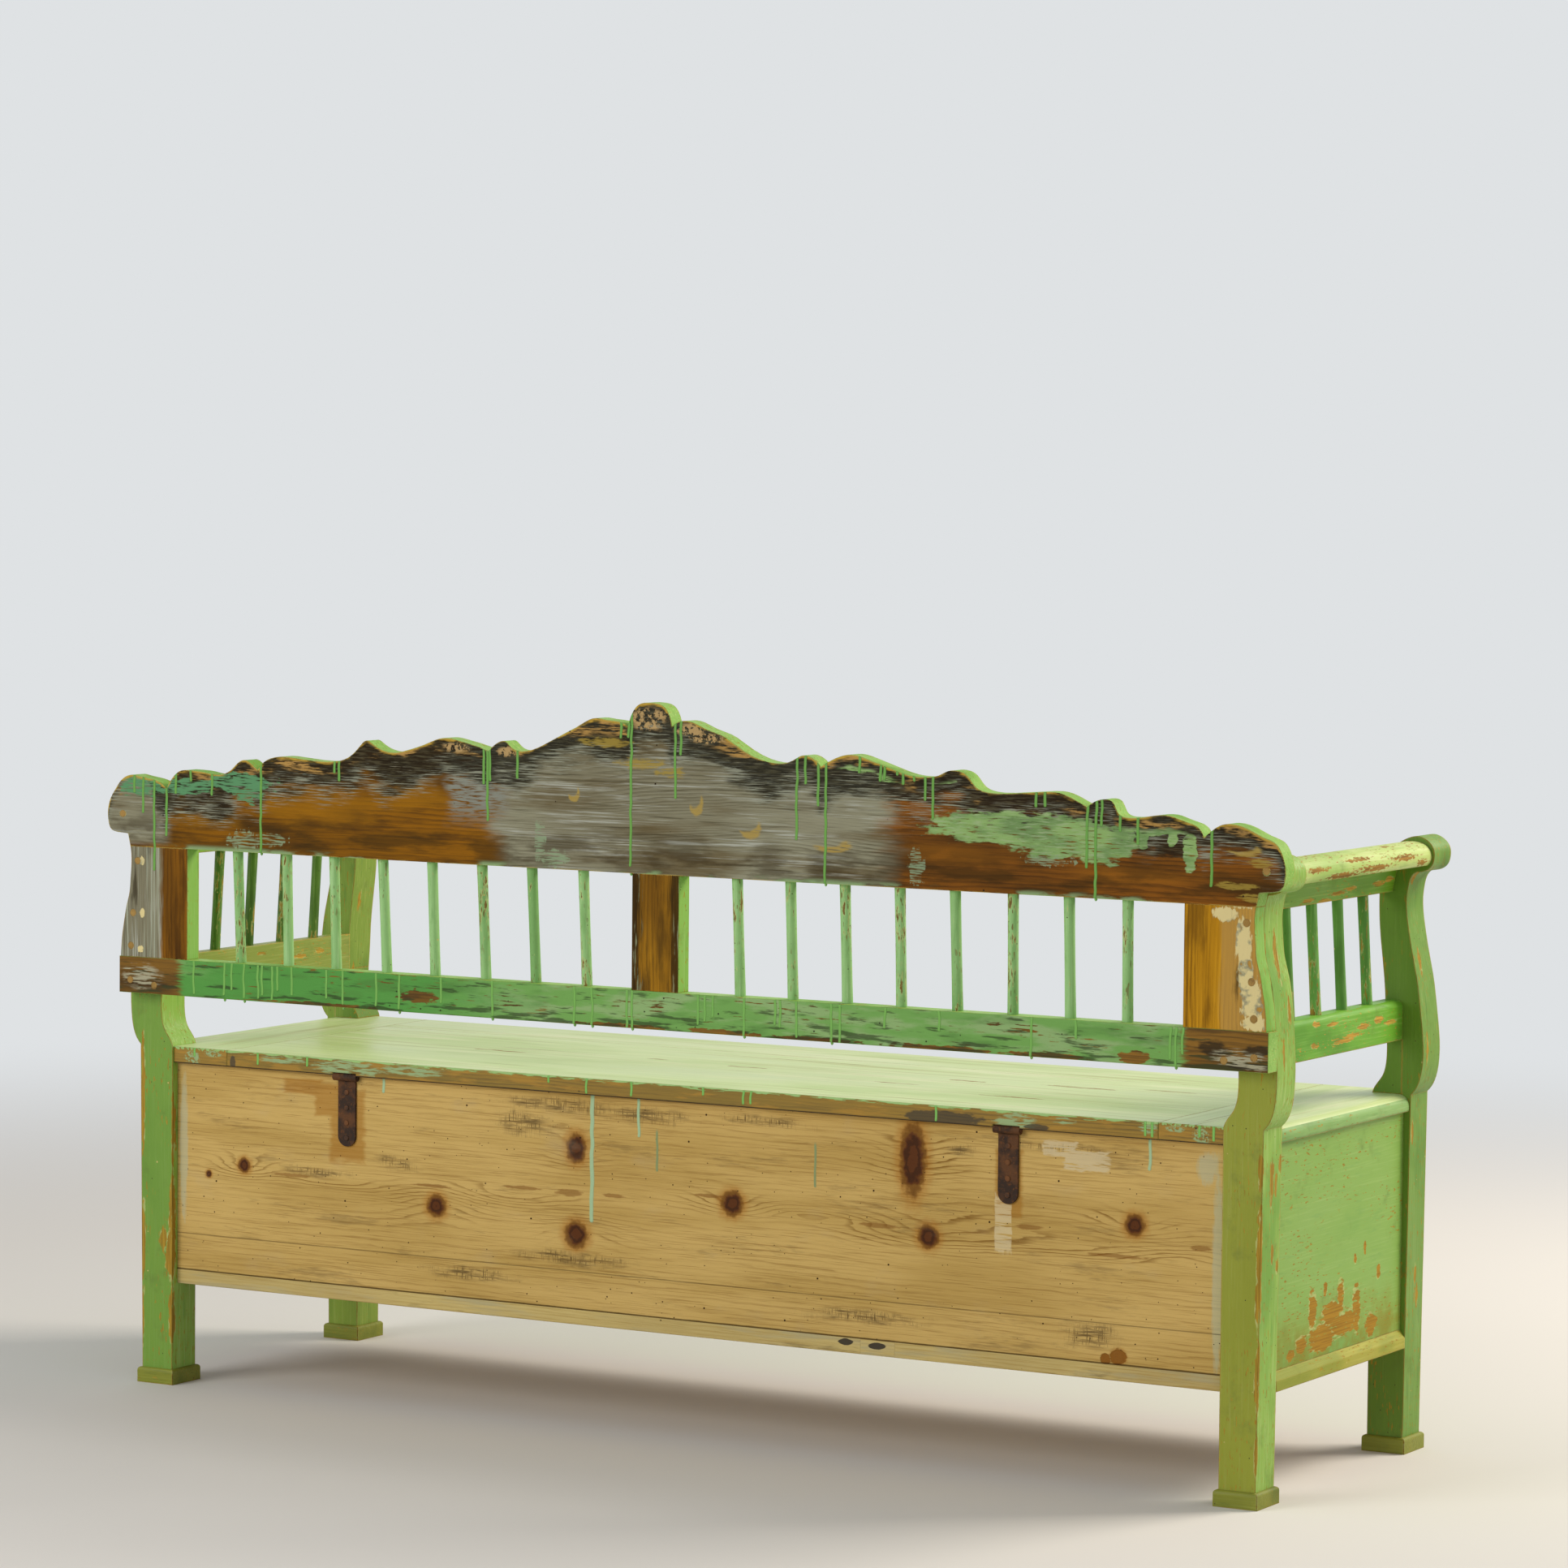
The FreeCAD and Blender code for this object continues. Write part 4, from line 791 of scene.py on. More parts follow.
CREST_RUNS: tuple[Pair, ...] = (
    (858, 757), (878, 840), (836, 808), (894, 869), (819, 870), (793, 889), (755, 870), (669, 790),
    (533, 899), (541, 910), (282, 853), (288, 904), (278, 909), (232, 914), (46, 800), (-25, 896),
    (-34, 956), (51, 977), (63, 976), (-217, 848), (-230, 924), (-250, 895), (-262, 786), (-314, 942),
    (-346, 932), (-352, 934), (-371, 941), (-380, 929), (-397, 934), (-414, 909), (-426, 885),
    (-175, 955), (-656, 830), (-669, 787), (-677, 886), (-705, 880), (-730, 864), (-837, 814),
    (-581, 907), (-594, 908),
)

RAIL_RUNS: tuple[Pair, ...] = (
    (787, 581), (733, 582), (720, 590), (698, 580), (673, 581), (666, 586), (648, 580), (639, 594),
    (614, 589), (554, 588), (525, 581), (468, 582), (429, 580), (358, 593), (272, 580), (136, 575),
    (107, 573), (50, 577), (42, 575), (-64, 588), (-75, 593), (-88, 600), (-137, 575), (-186, 595),
    (-194, 592), (-219, 580), (-274, 575), (-287, 576), (-356, 601), (-439, 602), (-577, 577),
    (-643, 604), (-781, 586), (-789, 576), (-799, 594),
)


@dataclass(frozen=True)
class WeatheredBack:
    """The rear faces of the back frame: old stain, grey bare wood, soot-black edges, paint runs."""

    name: str
    along: Way = Way.X
    across: Triple = (0.0, 0.35, 1.0)
    ring: float = 7.0
    contrast: float = 0.55
    front: OilPaint = OilPaint("back_frame_front_paint", coats=("#8fbb58", "#bccf78", "#6c9d3c"),
                               along=Way.X, wear=0.75, chips=0.25)
    seed: float = 0.0

    def base(self, shade: Shade, stain: str, bright: str, dark: str) -> Skin:
        """Give stained pine whose rings show through.

        Args:
            shade: The material that it is for.
            stain: Colour of the stain.
            bright: Colour where it is rubbed thin.
            dark: Colour of the rings.

        Returns:
            The surface.
        """
        wood = Pine(early=bright, aged=stain, late=dark, along=self.along, across=self.across,
                    ring=self.ring, flame=5.0, shine=0.5, contrast=self.contrast)
        skin = wood.skin(shade, self.seed)
        clouds = shade.streaks(self.along, 130.0, 26.0, detail=5.0, seed=self.seed + 3.4)
        skin.lay(shade.mask(clouds, 0.5, 0.68, 0.65), dark)
        # Scratches are finer than this. They are drawn 1.2 mm wide, so that they show.
        scratch = shade.streaks(self.along, 45.0, 1.2, detail=2.0, seed=self.seed + 8.3)
        skin.lay(shade.mask(scratch, 0.66, 0.76, 0.6), dark, lift=-0.1)
        return skin

    def grey(self, shade: Shade) -> Skin:
        """Give silver-grey weathered pine with long pale scratches.

        Args:
            shade: The material that it is for.

        Returns:
            The surface.
        """
        wood = Pine(early="#949279", aged="#7f7a62", late="#504a35", along=self.along, across=self.across,
                    ring=5.0, flame=8.0, shine=0.8, contrast=0.6,
                    eyes=(Eye(170, 905, 150, 60, 4.0), Eye(-190, 860, 130, 40, -3.0)))
        skin = wood.skin(shade, self.seed + 2.0)
        warm = shade.streaks(self.along, 240.0, 50.0, detail=4.0, seed=self.seed + 6.6)
        skin.lay(shade.mask(warm, 0.48, 0.66, 0.7), "#5e4d2b")
        arcs = shade.streaks(self.along, 120.0, 3.0, detail=4.0, seed=self.seed + 1.9)
        film = shade.streaks(self.along, 150.0, 34.0, detail=4.0, seed=self.seed + 4.9)
        pale = shade.all_of(shade.mask(arcs, 0.52, 0.64, 0.8), shade.mask(film, 0.42, 0.6))
        skin.lay(pale, "#b0b2a4", rough=0.85)
        skin.lay(shade.mask(arcs, 0.42, 0.3, 0.6), "#443d2a", rough=0.85)
        return skin

    def add_front(self, skin: Skin) -> None:
        """Paint every face but the rear one."""
        shade = skin.shade
        skin.over(shade.outside(shade.looking(REARWARD)), self.front.skin(shade))

    def crescents(self, shade: Shade, places: Sequence[Oval]) -> Value:
        """Give a mask of dabs that a brush left, each an oval less an oval above it.

        Args:
            shade: The material that it is for.
            places: X and Z of each dab's centre, then its half length and half height.

        Returns:
            A mask that is 1 in the dabs.
        """
        whole = shade.spots(on_back(places), 0.3, Way.X, 6.0, soft=0.3)
        raised = [(x + 0.3 * a, z + 0.62 * b, a, b) for x, z, a, b in places]
        inner = shade.spots(on_back(raised), 0.3, Way.X, 6.0, soft=0.3)
        return shade.put("Math", whole, inner, operation="SUBTRACT", use_clamp=True)


@dataclass(frozen=True)
class CrestBack(WeatheredBack):
    """The crest board's rear face, from amber stain through bare grey to red-brown stain."""

    black_depth: float = 44.0
    run_half_width: float = 2.7
    run_green: str = "#6fa54e"

    def below_edge(self, shade: Shade) -> Value:
        """Give the depth in millimetres below the crest's sawn upper edge.

        Args:
            shade: The material that it is for.

        Returns:
            A source of the depth.
        """
        low, high = 780.0, 1040.0
        tops = []
        for profile in (CREST_LEFT_HALF, CREST_RIGHT_HALF):
            reach = profile[-1][0]
            away = shade.put("Math", shade.x, operation="ABSOLUTE")
            curve = shade.put("FloatCurve", Value=shade.share(away, 1 / (reach * MM)))
            points = curve.mapping.curves[0].points
            for index, (at, height) in enumerate(profile):
                place = (at / reach, (height - low) / (high - low))
                if index in (0, len(profile) - 1):
                    points[0 if index == 0 else len(points) - 1].location = place
                else:
                    points.new(*place)
            for point in points:
                point.handle_type = "VECTOR"
            curve.mapping.update()
            tops.append(shade.put("MapRange", curve, 0.0, 1.0, low, high))
        right = shade.put("Math", shade.x, 0.0, operation="GREATER_THAN")
        top = shade.put("Mix", right, None, *tops)
        return shade.put("Math", shade.z, -1 / MM, top, operation="MULTIPLY_ADD")

    def material(self) -> bpy.types.Material:
        """Make the crest's material, from its stains up to the last paint runs.

        Returns:
            The material.
        """
        shade = Shade(self.name)
        depth = self.below_edge(shade)
        patch = shade.streaks(Way.X, 90.0, 24.0, detail=5.0, seed=3.7)
        fine = shade.streaks(Way.X, 26.0, 2.6, detail=4.0, seed=1.3)
        skin = self.base(shade, "#6e4706", "#8f5c06", "#35220a")
        glow = on_back([(560, 862, 170, 36), (410, 880, 90, 26), (770, 838, 80, 26)])
        skin.lay(shade.share(shade.spots(glow, 0.7, Way.X, 16.0, soft=0.8), 0.5), "#a46f08")
        red = self.base(shade, "#5f3a0c", "#865112", "#301d08")
        warm = on_back([(-450, 838, 110, 20), (-720, 822, 110, 16)])
        red.lay(shade.share(shade.spots(warm, 0.4, Way.X, 16.0, soft=0.8), 0.5), "#9c6214")
        skin.over(shade.between(-960.0, -345.0, 22.0, patch), red)
        skin.over(shade.between(-360.0, 265.0, 26.0, patch), self.grey(shade))
        right_end = shade.all_of(shade.between(835.0, 960.0, 12.0, patch), shade.above(795.0, 6.0))
        skin.over(right_end, self.grey(shade))
        upper_grey = shade.all_of(shade.between(250.0, 346.0, 12.0, patch), shade.above(856.0, 22.0))
        skin.lay(shade.all_of(upper_grey, shade.mask(fine, 0.38, 0.54)), "#85877a", rough=0.85)
        foot = shade.all_of(shade.below(838.0, 26.0), shade.mask(patch, 0.42, 0.6, 0.6))
        skin.lay(foot, "#36280f", rough=0.7)
        self.blacken(skin, depth, patch, fine)
        self.smear_green(skin, depth, patch, fine)
        smears = on_back([(83, 968, 44, 8), (30, 941, 42, 8), (-20, 930, 26, 8), (-905, 846, 20, 7),
                          (-872, 815, 30, 5), (-900, 800, 24, 6)])
        smear = shade.all_of(shade.spots(smears, 0.8, Way.X, 5.0, soft=0.4), shade.mask(fine, 0.34, 0.5))
        skin.lay(shade.share(smear, 0.8), "#a0893a", rough=0.6, lift=0.2)
        dabs = self.crescents(shade, [(139, 896, 10, 13), (-59, 889, 12, 18), (-145, 858, 18, 16),
                                      (-272, 842, 32, 11), (-884, 862, 26, 9)])
        skin.lay(shade.all_of(dabs, shade.mask(fine, 0.3, 0.46, 0.85)), "#ab9148", rough=0.6, lift=0.3)
        worn = shade.soften(2.6)
        rim = shade.mask(shade.put("Math", fine, 9.0, depth, operation="MULTIPLY_ADD"), 9.0, 5.0)
        skin.lay(shade.all_of(rim, shade.mask(patch, 0.46, 0.54)), "#bd993c", rough=0.75)
        skin.lay(shade.all_of(worn, shade.mask(fine, 0.42, 0.54)), "#cfb75e", rough=0.75)
        skin.lay(shade.all_of(worn, shade.mask(patch, 0.5, 0.58)), "#a9c377", rough=0.5)
        skin.lay(shade.dots(24.0, 1.6, 0.3), "#2e2114", lift=-0.5)
        runs = shade.runs(CREST_RUNS, self.run_half_width)
        skin.lay(runs, self.run_green, rough=0.3, lift=0.9)
        self.add_front(skin)
        return skin.close(specular=0.06)

    def blacken(self, skin: Skin, depth: Value, patch: Value, fine: Value) -> None:
        """Lay the black weathering that hangs from the upper edge.

        Args:
            skin: The surface.
            depth: Depth below the upper edge in millimetres.
            patch: A coarse noise.
            fine: A fine noise.
        """
        shade = skin.shade
        swell = shade.streaks(Way.X, 150.0, 90.0, detail=2.0, seed=12.6)
        ragged = shade.put("Math", patch, -80.0, depth, operation="MULTIPLY_ADD")
        ragged = shade.put("Math", swell, -70.0, ragged, operation="MULTIPLY_ADD")
        ragged = shade.put("Math", fine, -22.0, ragged, operation="MULTIPLY_ADD")
        edge = self.black_depth - 86.0
        thin = shade.put("MapRange", shade.between(-960.0, -380.0, 40.0, patch), 0.0, 1.0, 0.0, 14.0)
        bleached = shade.put("MapRange", shade.between(862.0, 960.0, 10.0, patch), 0.0, 1.0, 0.0, 46.0)
        ragged = shade.fold("ADD", ragged, thin, bleached)
        mask = shade.mask(ragged, edge + 14.0, edge - 8.0, 0.94)
        soot = shade.put("MixRGB", shade.mask(fine, 0.44, 0.66), "#211e15", "#484533")
        low = shade.spots(on_back([(-772, 866, 60, 22), (-712, 880, 40, 12)]), 0.7, Way.X, 7.0, soft=0.5)
        skin.lay(shade.any_of(mask, shade.share(low, 0.9)), soot, rough=0.8)
        band = shade.all_of(shade.mask(ragged, edge + 30.0, edge + 4.0),
                            shade.mask(ragged, edge - 24.0, edge - 6.0))
        scratch = shade.streaks(Way.X, 42.0, 1.5, detail=4.0, seed=14.3)
        skin.lay(shade.all_of(band, shade.mask(scratch, 0.5, 0.6, 0.8)), "#979a86", rough=0.8)
        skin.lay(shade.all_of(mask, shade.mask(scratch, 0.62, 0.7, 0.8)), "#a19d84", rough=0.8)
        tan = shade.all_of(shade.mask(depth, 26.0, 12.0), shade.mask(patch, 0.53, 0.62))
        skin.lay(shade.all_of(tan, shade.mask(fine, 0.42, 0.54)), "#b08a4c", rough=0.8)
        crackle = shade.put("TexNoise", shade.place, Scale=1 / (7 * MM), Detail=5.0, Roughness=0.65)
        crown = on_back([(20, 1003, 34, 19), (-50, 988, 26, 12), (-78, 978, 34, 10), (245, 950, 24, 9),
                         (335, 952, 26, 8)])
        cream = shade.all_of(shade.spots(crown, 0.4, Way.X, 8.0, soft=0.5), shade.mask(crackle, 0.46, 0.54))
        skin.lay(shade.share(cream, 0.85), "#bf9f6a", rough=0.85, lift=0.3)

    def smear_green(self, skin: Skin, depth: Value, patch: Value, fine: Value) -> None:
        """Lay the smears of green paint that came over the upper edge.

        Args:
            skin: The surface.
            depth: Depth below the upper edge in millimetres.
            patch: A coarse noise.
            fine: A fine noise.
        """
        shade = skin.shade
        broad = on_back([
            (-520, 876, 105, 22), (-610, 868, 80, 30), (-680, 862, 50, 26), (-752, 884, 60, 9),
            (-806, 856, 10, 26), (-780, 880, 8, 20), (-738, 876, 8, 22), (-720, 880, 7, 20),
            (-395, 938, 60, 10), (-330, 950, 60, 8),
        ])
        cover = shade.spots(broad, 0.75, Way.X, 9.0)
        tone = shade.put("MixRGB", shade.mask(patch, 0.42, 0.6), "#8cae68", "#6f8f56")
        tone = shade.put("MixRGB", shade.mask(fine, 0.5, 0.66, 0.6), tone, "#a3b48a")
        shield = shade.mask(shade.put("Math", patch, -30.0, depth, operation="MULTIPLY_ADD"), -4.0, 4.0)
        skin.lay(shade.all_of(cover, shield, shade.mask(fine, 0.33, 0.44)), tone, rough=0.5, lift=0.25)
        teal = on_back([(705, 888, 60, 13), (800, 880, 45, 12), (880, 876, 40, 14), (690, 880, 26, 18)])
        drag = shade.spots(teal, 1.1, Way.X, 7.0)
        skin.lay(shade.all_of(drag, shade.mask(fine, 0.38, 0.5)), "#5b8f62", rough=0.5, lift=0.2)
        flecks = on_back([(194, 828, 9, 30), (172, 804, 24, 12), (-401, 818, 12, 26), (-598, 836, 34, 8),
                          (699, 806, 26, 16), (650, 808, 30, 9)])
        dabs = shade.spots(flecks, 0.95, Way.Z, 5.0)
        skin.lay(shade.all_of(dabs, shade.mask(fine, 0.44, 0.56, 0.8)), "#8ba07c", rough=0.6)
        base = shade.below(CREST_BOTTOM, 4.0)
        skin.lay(shade.all_of(base, shade.mask(patch, 0.5, 0.6)), "#86a070", rough=0.6)


@dataclass(frozen=True)
class StileBack(WeatheredBack):
    """A stile's rear face: stained or grey pine, with putty round its pegs."""

    along: Way = Way.Z
    across: Triple = (1.0, 0.35, 0.0)
    front: OilPaint = OilPaint("stile_front_paint", coats=("#8ab856", "#9dbd73", "#6a9c3c"), wear=0.7,
                               chips=0.25)
    stain: str = "#6d430b"
    bright: str = "#98600d"
    rings: str = "#3a2206"
    grey_span: tuple[float, ...] = ()
    dark_edges: tuple[float, ...] = ()
    tan_span: tuple[float, ...] = ()
    putty: tuple[Spot, ...] = ()
    runs: tuple[Pair, ...] = ()

    def material(self) -> bpy.types.Material:
        """Make the stile's material, from its stain up to the putty and the runs.

        Returns:
            The material.
        """
        shade = Shade(self.name)
        fine = shade.streaks(Way.Z, 40.0, 3.0, detail=4.0, seed=self.seed + 1.3)
        skin = self.base(shade, self.stain, self.bright, self.rings)
        if self.grey_span:
            ribs = shade.streaks(Way.Z, 300.0, 3.0, detail=2.0, seed=self.seed + 0.6)
            worn = self.grey(shade)
            worn.lay(shade.mask(ribs, 0.5, 0.6, 0.8), "#a8ad96", lift=0.3)
            skin.over(shade.between(*self.grey_span, 5.0, fine), worn)
        if self.dark_edges:
            edges = shade.outside(shade.between(*self.dark_edges, 5.0, fine))
            skin.lay(shade.share(edges, 0.85), "#241b0c", rough=0.7)
            skin.lay(shade.all_of(edges, shade.mask(fine, 0.56, 0.64, 0.8)), "#8b8f6c", rough=0.8)
        if self.tan_span:
            skin.lay(shade.share(shade.between(*self.tan_span, 4.0, fine), 0.8), "#b48d47", rough=0.75)
        if self.putty:
            mask = shade.spots(self.putty, 0.85, Way.Z, 6.0)
            lumps = shade.put("TexNoise", shade.place, Scale=1 / (17 * MM), Detail=4.0)
            mask = shade.all_of(mask, shade.mask(lumps, 0.34, 0.4))
            tone = shade.put("MixRGB", shade.mask(lumps, 0.38, 0.5), "#9a9778", "#dccb90")
            skin.lay(mask, tone, rough=0.75, lift=0.5)
        smoke = shade.streaks(Way.Z, 120.0, 12.0, detail=5.0, seed=self.seed + 4.4)
        skin.lay(shade.mask(smoke, 0.6, 0.72, 0.7), "#2b1f0e", rough=0.8)
        worn = shade.soften(2.2)
        skin.lay(shade.all_of(worn, shade.mask(fine, 0.42, 0.56)), "#b08a45", rough=0.75)
        if self.runs:
            skin.lay(shade.runs(self.runs, 2.7), "#6fa54e", rough=0.3, lift=0.8)
        self.add_front(skin)
        return skin.close(specular=0.06)


@dataclass(frozen=True)
class RailBack(WeatheredBack):
    """The bottom rail's rear face: green paint brushed thinly over brown wood, with many runs."""

    run_half_width: float = 2.5
    run_green: str = "#79b155"

    def material(self) -> bpy.types.Material:
        """Make the rail's material, from its stain up to the last paint runs.

        Returns:
            The material.
        """
        shade = Shade(self.name)
        fine = shade.streaks(Way.X, 30.0, 2.6, detail=4.0, seed=2.3)
        patch = shade.streaks(Way.X, 110.0, 22.0, detail=5.0, seed=5.7)
        skin = self.base(shade, "#604310", "#8c6420", "#33240c")
        tone = shade.put("MixRGB", shade.mask(patch, 0.44, 0.58), "#71a351", "#8cad6e")
        green = shade.put("MixRGB", shade.between(300.0, 840.0, 120.0, patch), tone, "#539440")
        grime = shade.streaks(Way.X, 140.0, 30.0, detail=5.0, seed=10.9)
        green = shade.put("MixRGB", shade.mask(grime, 0.5, 0.66, 0.55), green, "#4d7a35")
        scrubbed = shade.put("Math", patch, 0.6, fine, operation="MULTIPLY_ADD")
        bare = shade.spots(on_back([(398, 598, 34, 9), (60, 577, 70, 4), (-110, 577, 60, 5),
                                    (-250, 577, 70, 4), (-440, 577, 80, 5), (-600, 578, 60, 4),
                                    (-730, 584, 26, 8), (560, 577, 90, 3)]), 0.95, Way.X, 5.0)
        cover = shade.all_of(shade.mask(scrubbed, 0.99, 0.93), shade.between(-800.0, 812.0, 8.0, fine),
                             shade.outside(bare))
        skin.lay(cover, green, rough=0.5, lift=0.2)
        smoke = shade.streaks(Way.X, 60.0, 7.0, detail=5.0, seed=8.7)
        low = shade.put("MapRange", shade.below(592.0, 14.0), 0.0, 1.0, 0.0, 0.08)
        smoke = shade.put("Math", smoke, low, operation="ADD")
        skin.lay(shade.mask(smoke, 0.57, 0.66, 0.75), "#2f3a1e", rough=0.65)
        burnt = shade.spots(on_back([(-846, 602, 30, 12), (-905, 602, 26, 9), (-890, 582, 40, 5)]),
                            0.8, Way.X, 6.0, soft=0.5)
        skin.lay(shade.share(burnt, 0.85), "#2a2317", rough=0.8)
        ends = shade.spots(on_back([(-872, 592, 36, 14), (-905, 588, 20, 16), (880, 600, 40, 20)]),
                           0.5, Way.X, 6.0, soft=0.5)
        skin.lay(shade.all_of(ends, shade.mask(fine, 0.46, 0.56)), "#a5a083", rough=0.8, lift=0.2)
        skin.lay(shade.dots(17.0, 1.5, 0.5), "#25240f", lift=-0.4)
        worn = shade.soften(2.2)
        skin.lay(shade.all_of(worn, shade.mask(fine, 0.46, 0.58)), "#ab8741", rough=0.75)
        runs = shade.runs(RAIL_RUNS, self.run_half_width, top=shade.above(RAIL_BOTTOM, 1.0))
        skin.lay(runs, self.run_green, rough=0.3, lift=0.8)
        self.add_front(skin)
        return skin.close(specular=0.14)


@dataclass(frozen=True)
class BoxBackBoard:
    """The wide back board of the box: old bare pine with knots, stains, nail and worm holes."""

    name: str = "unpainted_pine_back_board"
    eyes: tuple[Eye, ...] = (
        Eye(726, 330, 44, 16, 2.6), Eye(560, 318, 90, 11, 1.8), Eye(391, 297, 70, 26, -2.4),
        Eye(262, 322, 96, 15, 2.4), Eye(157, 396, 46, 26, 2.0), Eye(156, 275, 70, 26, -2.6),
        Eye(-97, 338, 60, 20, 2.8), Eye(-379, 420, 60, 40, 2.0), Eye(-404, 317, 120, 34, 3.6),
        Eye(-250, 332, 90, 8, -1.8), Eye(-600, 318, 130, 14, 2.2), Eye(-713, 357, 60, 24, 2.4),
        Eye(-760, 318, 80, 13, -1.8),
    )
    knots: tuple[Knot, ...] = (
        Knot(726, 330, 8), Knot(391, 297, 12), Knot(157, 396, 12, 1.3), Knot(156, 275, 14),
        Knot(-97, 338, 13), Knot(-404, 317, 12), Knot(-379, 420, 15, 2.4), Knot(-713, 357, 11),
        Knot(789, 313, 4), Knot(-691, 180, 7),
    )
    seam: float = 223.0
    bottom: float = 169.0

    def material(self) -> bpy.types.Material:
        """Make the boards' material: aged inside the box, stained and run over behind it.

        Returns:
            The material.
        """
        shade = Shade(self.name)
        wood = Pine(early="#cdac66", late="#7f5a22", aged="#bb9a55", ring=8.5, flame=3.5, contrast=0.9,
                    line_start=0.58, calm=0.62, eyes=self.eyes, knots=self.knots)
        inside = RawPine(self.name, wood=wood, soil=0.5, seed=0.4).skin(shade)
        outside = Skin(shade, inside.colour, inside.rough, inside.relief)
        fine = shade.streaks(Way.X, 30.0, 2.4, detail=4.0, seed=6.3)
        self.add_stains(outside, fine)
        self.add_seams(outside, fine)
        self.add_runs(outside)
        inside.over(shade.looking(REARWARD), outside)
        shade.soften(1.5)
        return inside.close(specular=0.08)

    def add_stains(self, skin: Skin, fine: Value) -> None:
        """Lay rust round the hinges, smudges, an old strap's outline and torn paper.

        Args:
            skin: The surface.
            fine: A fine noise.
        """
        shade = skin.shade
        flames = on_back([(245, 334, 34, 3), (168, 333, 24, 6), (94, 334, 22, 3), (398, 325, 38, 3),
                          (-327, 326, 34, 4), (-557, 342, 22, 4), (-685, 314, 52, 3), (-809, 334, 18, 4),
                          (640, 322, 36, 3), (-60, 346, 24, 3)])
        skin.lay(shade.share(shade.spots(flames, 0.55, Way.X, 4.0, soft=0.4), 0.6), "#7d4f1c", rough=0.7)
        rust = on_back([(544, 400, 32, 56), (575, 436, 28, 26), (622, 452, 36, 12), (-525, 398, 22, 50)])
        skin.lay(shade.share(shade.spots(rust, 0.25, Way.X, 8.0, soft=0.3, square=True), 0.6), "#a26c1c")
        smoke = on_back([(180, 455, 130, 13), (40, 450, 90, 16), (245, 425, 60, 22), (-452, 438, 26, 12),
                         (-150, 455, 90, 10), (160, 240, 120, 12), (600, 330, 70, 10), (-650, 206, 60, 22),
                         (460, 352, 50, 14), (-600, 452, 80, 10), (330, 205, 90, 14), (-300, 200, 120, 12)])
        cross = shade.streaks(Way.Z, 16.0, 1.8)
        hatch = shade.any_of(shade.mask(fine, 0.4, 0.66), shade.mask(cross, 0.46, 0.66))
        mask = shade.all_of(shade.spots(smoke, 0.8, Way.X, 12.0, soft=0.9), hatch)
        skin.lay(shade.share(mask, 0.8), "#4f3d26", rough=0.85)
        trace = shade.spots(on_back([(-517, 345, 13, 40)]), 0.25, Way.Z, 5.0, square=True)
        skin.lay(shade.all_of(trace, shade.mask(fine, 0.32, 0.46, 0.7)), "#d9c79a", rough=0.9)
        paper = shade.spots(on_back([(-640, 436, 34, 14), (-600, 450, 26, 11)]), 0.4, Way.X, 5.0, square=True)
        skin.lay(shade.all_of(paper, shade.mask(fine, 0.36, 0.46, 0.8)), "#d2c096", rough=0.9, lift=0.2)
        haze = shade.spots(on_back([(-818, 441, 18, 24), (-834, 300, 9, 150), (834, 350, 8, 120)]),
                           0.5, Way.Z, 6.0, soft=0.4)
        skin.lay(shade.share(haze, 0.6), "#b4b695", rough=0.8)
        # Worm holes are 1 to 2 mm wide. They are drawn up to 3.4 mm wide, so that they show.
        worms = shade.any_of(shade.dots(9.0, 0.9, 0.3, seed=3.0), shade.dots(26.0, 1.7, 0.4, seed=5.0))
        skin.lay(worms, "#3a260f", lift=-0.6)
        skin.lay(shade.spots(on_back([(-691, 180, 13, 11), (-672, 176, 8, 8)]), 0.4, Way.X, 5.0),
                 "#8a5a20", lift=-0.8)

    def add_seams(self, skin: Skin, fine: Value) -> None:
        """Darken the joint between the two boards and the joint over the ledger.

        Args:
            skin: The surface.
            fine: A fine noise.
        """
        shade = skin.shade
        for height, half, depth in ((self.seam, 0.9, 0.4), (self.bottom, 2.2, 0.8)):
            above = shade.put("Math", shade.z, -height * MM, operation="ADD")
            away = shade.put("Math", above, operation="ABSOLUTE")
            wander = shade.put("Math", fine, -1.6 * MM, away, operation="MULTIPLY_ADD")
            line = shade.mask(wander, (half - 0.4) * MM, (half - 1.4) * MM)
            skin.lay(shade.share(line, depth), "#33230e", rough=0.9, lift=-0.4)

    def add_runs(self, skin: Skin) -> None:
        """Lay the few runs of pale green paint that came down over the lid.

        Args:
            skin: The surface.
        """
        shade = skin.shade
        broad, narrow = shade.runs(((131, 297),), 4.2), shade.runs(((55, 421), (-734, 433), (482, 454)), 3.0)
        skin.lay(shade.any_of(broad, narrow), "#a6c398", rough=0.35, lift=0.7)
        faint = shade.runs(((25, 375), (-228, 372)), 2.4, top=shade.below(430.0, 4.0))
        skin.lay(faint, "#8a9666", rough=0.5, lift=0.3)


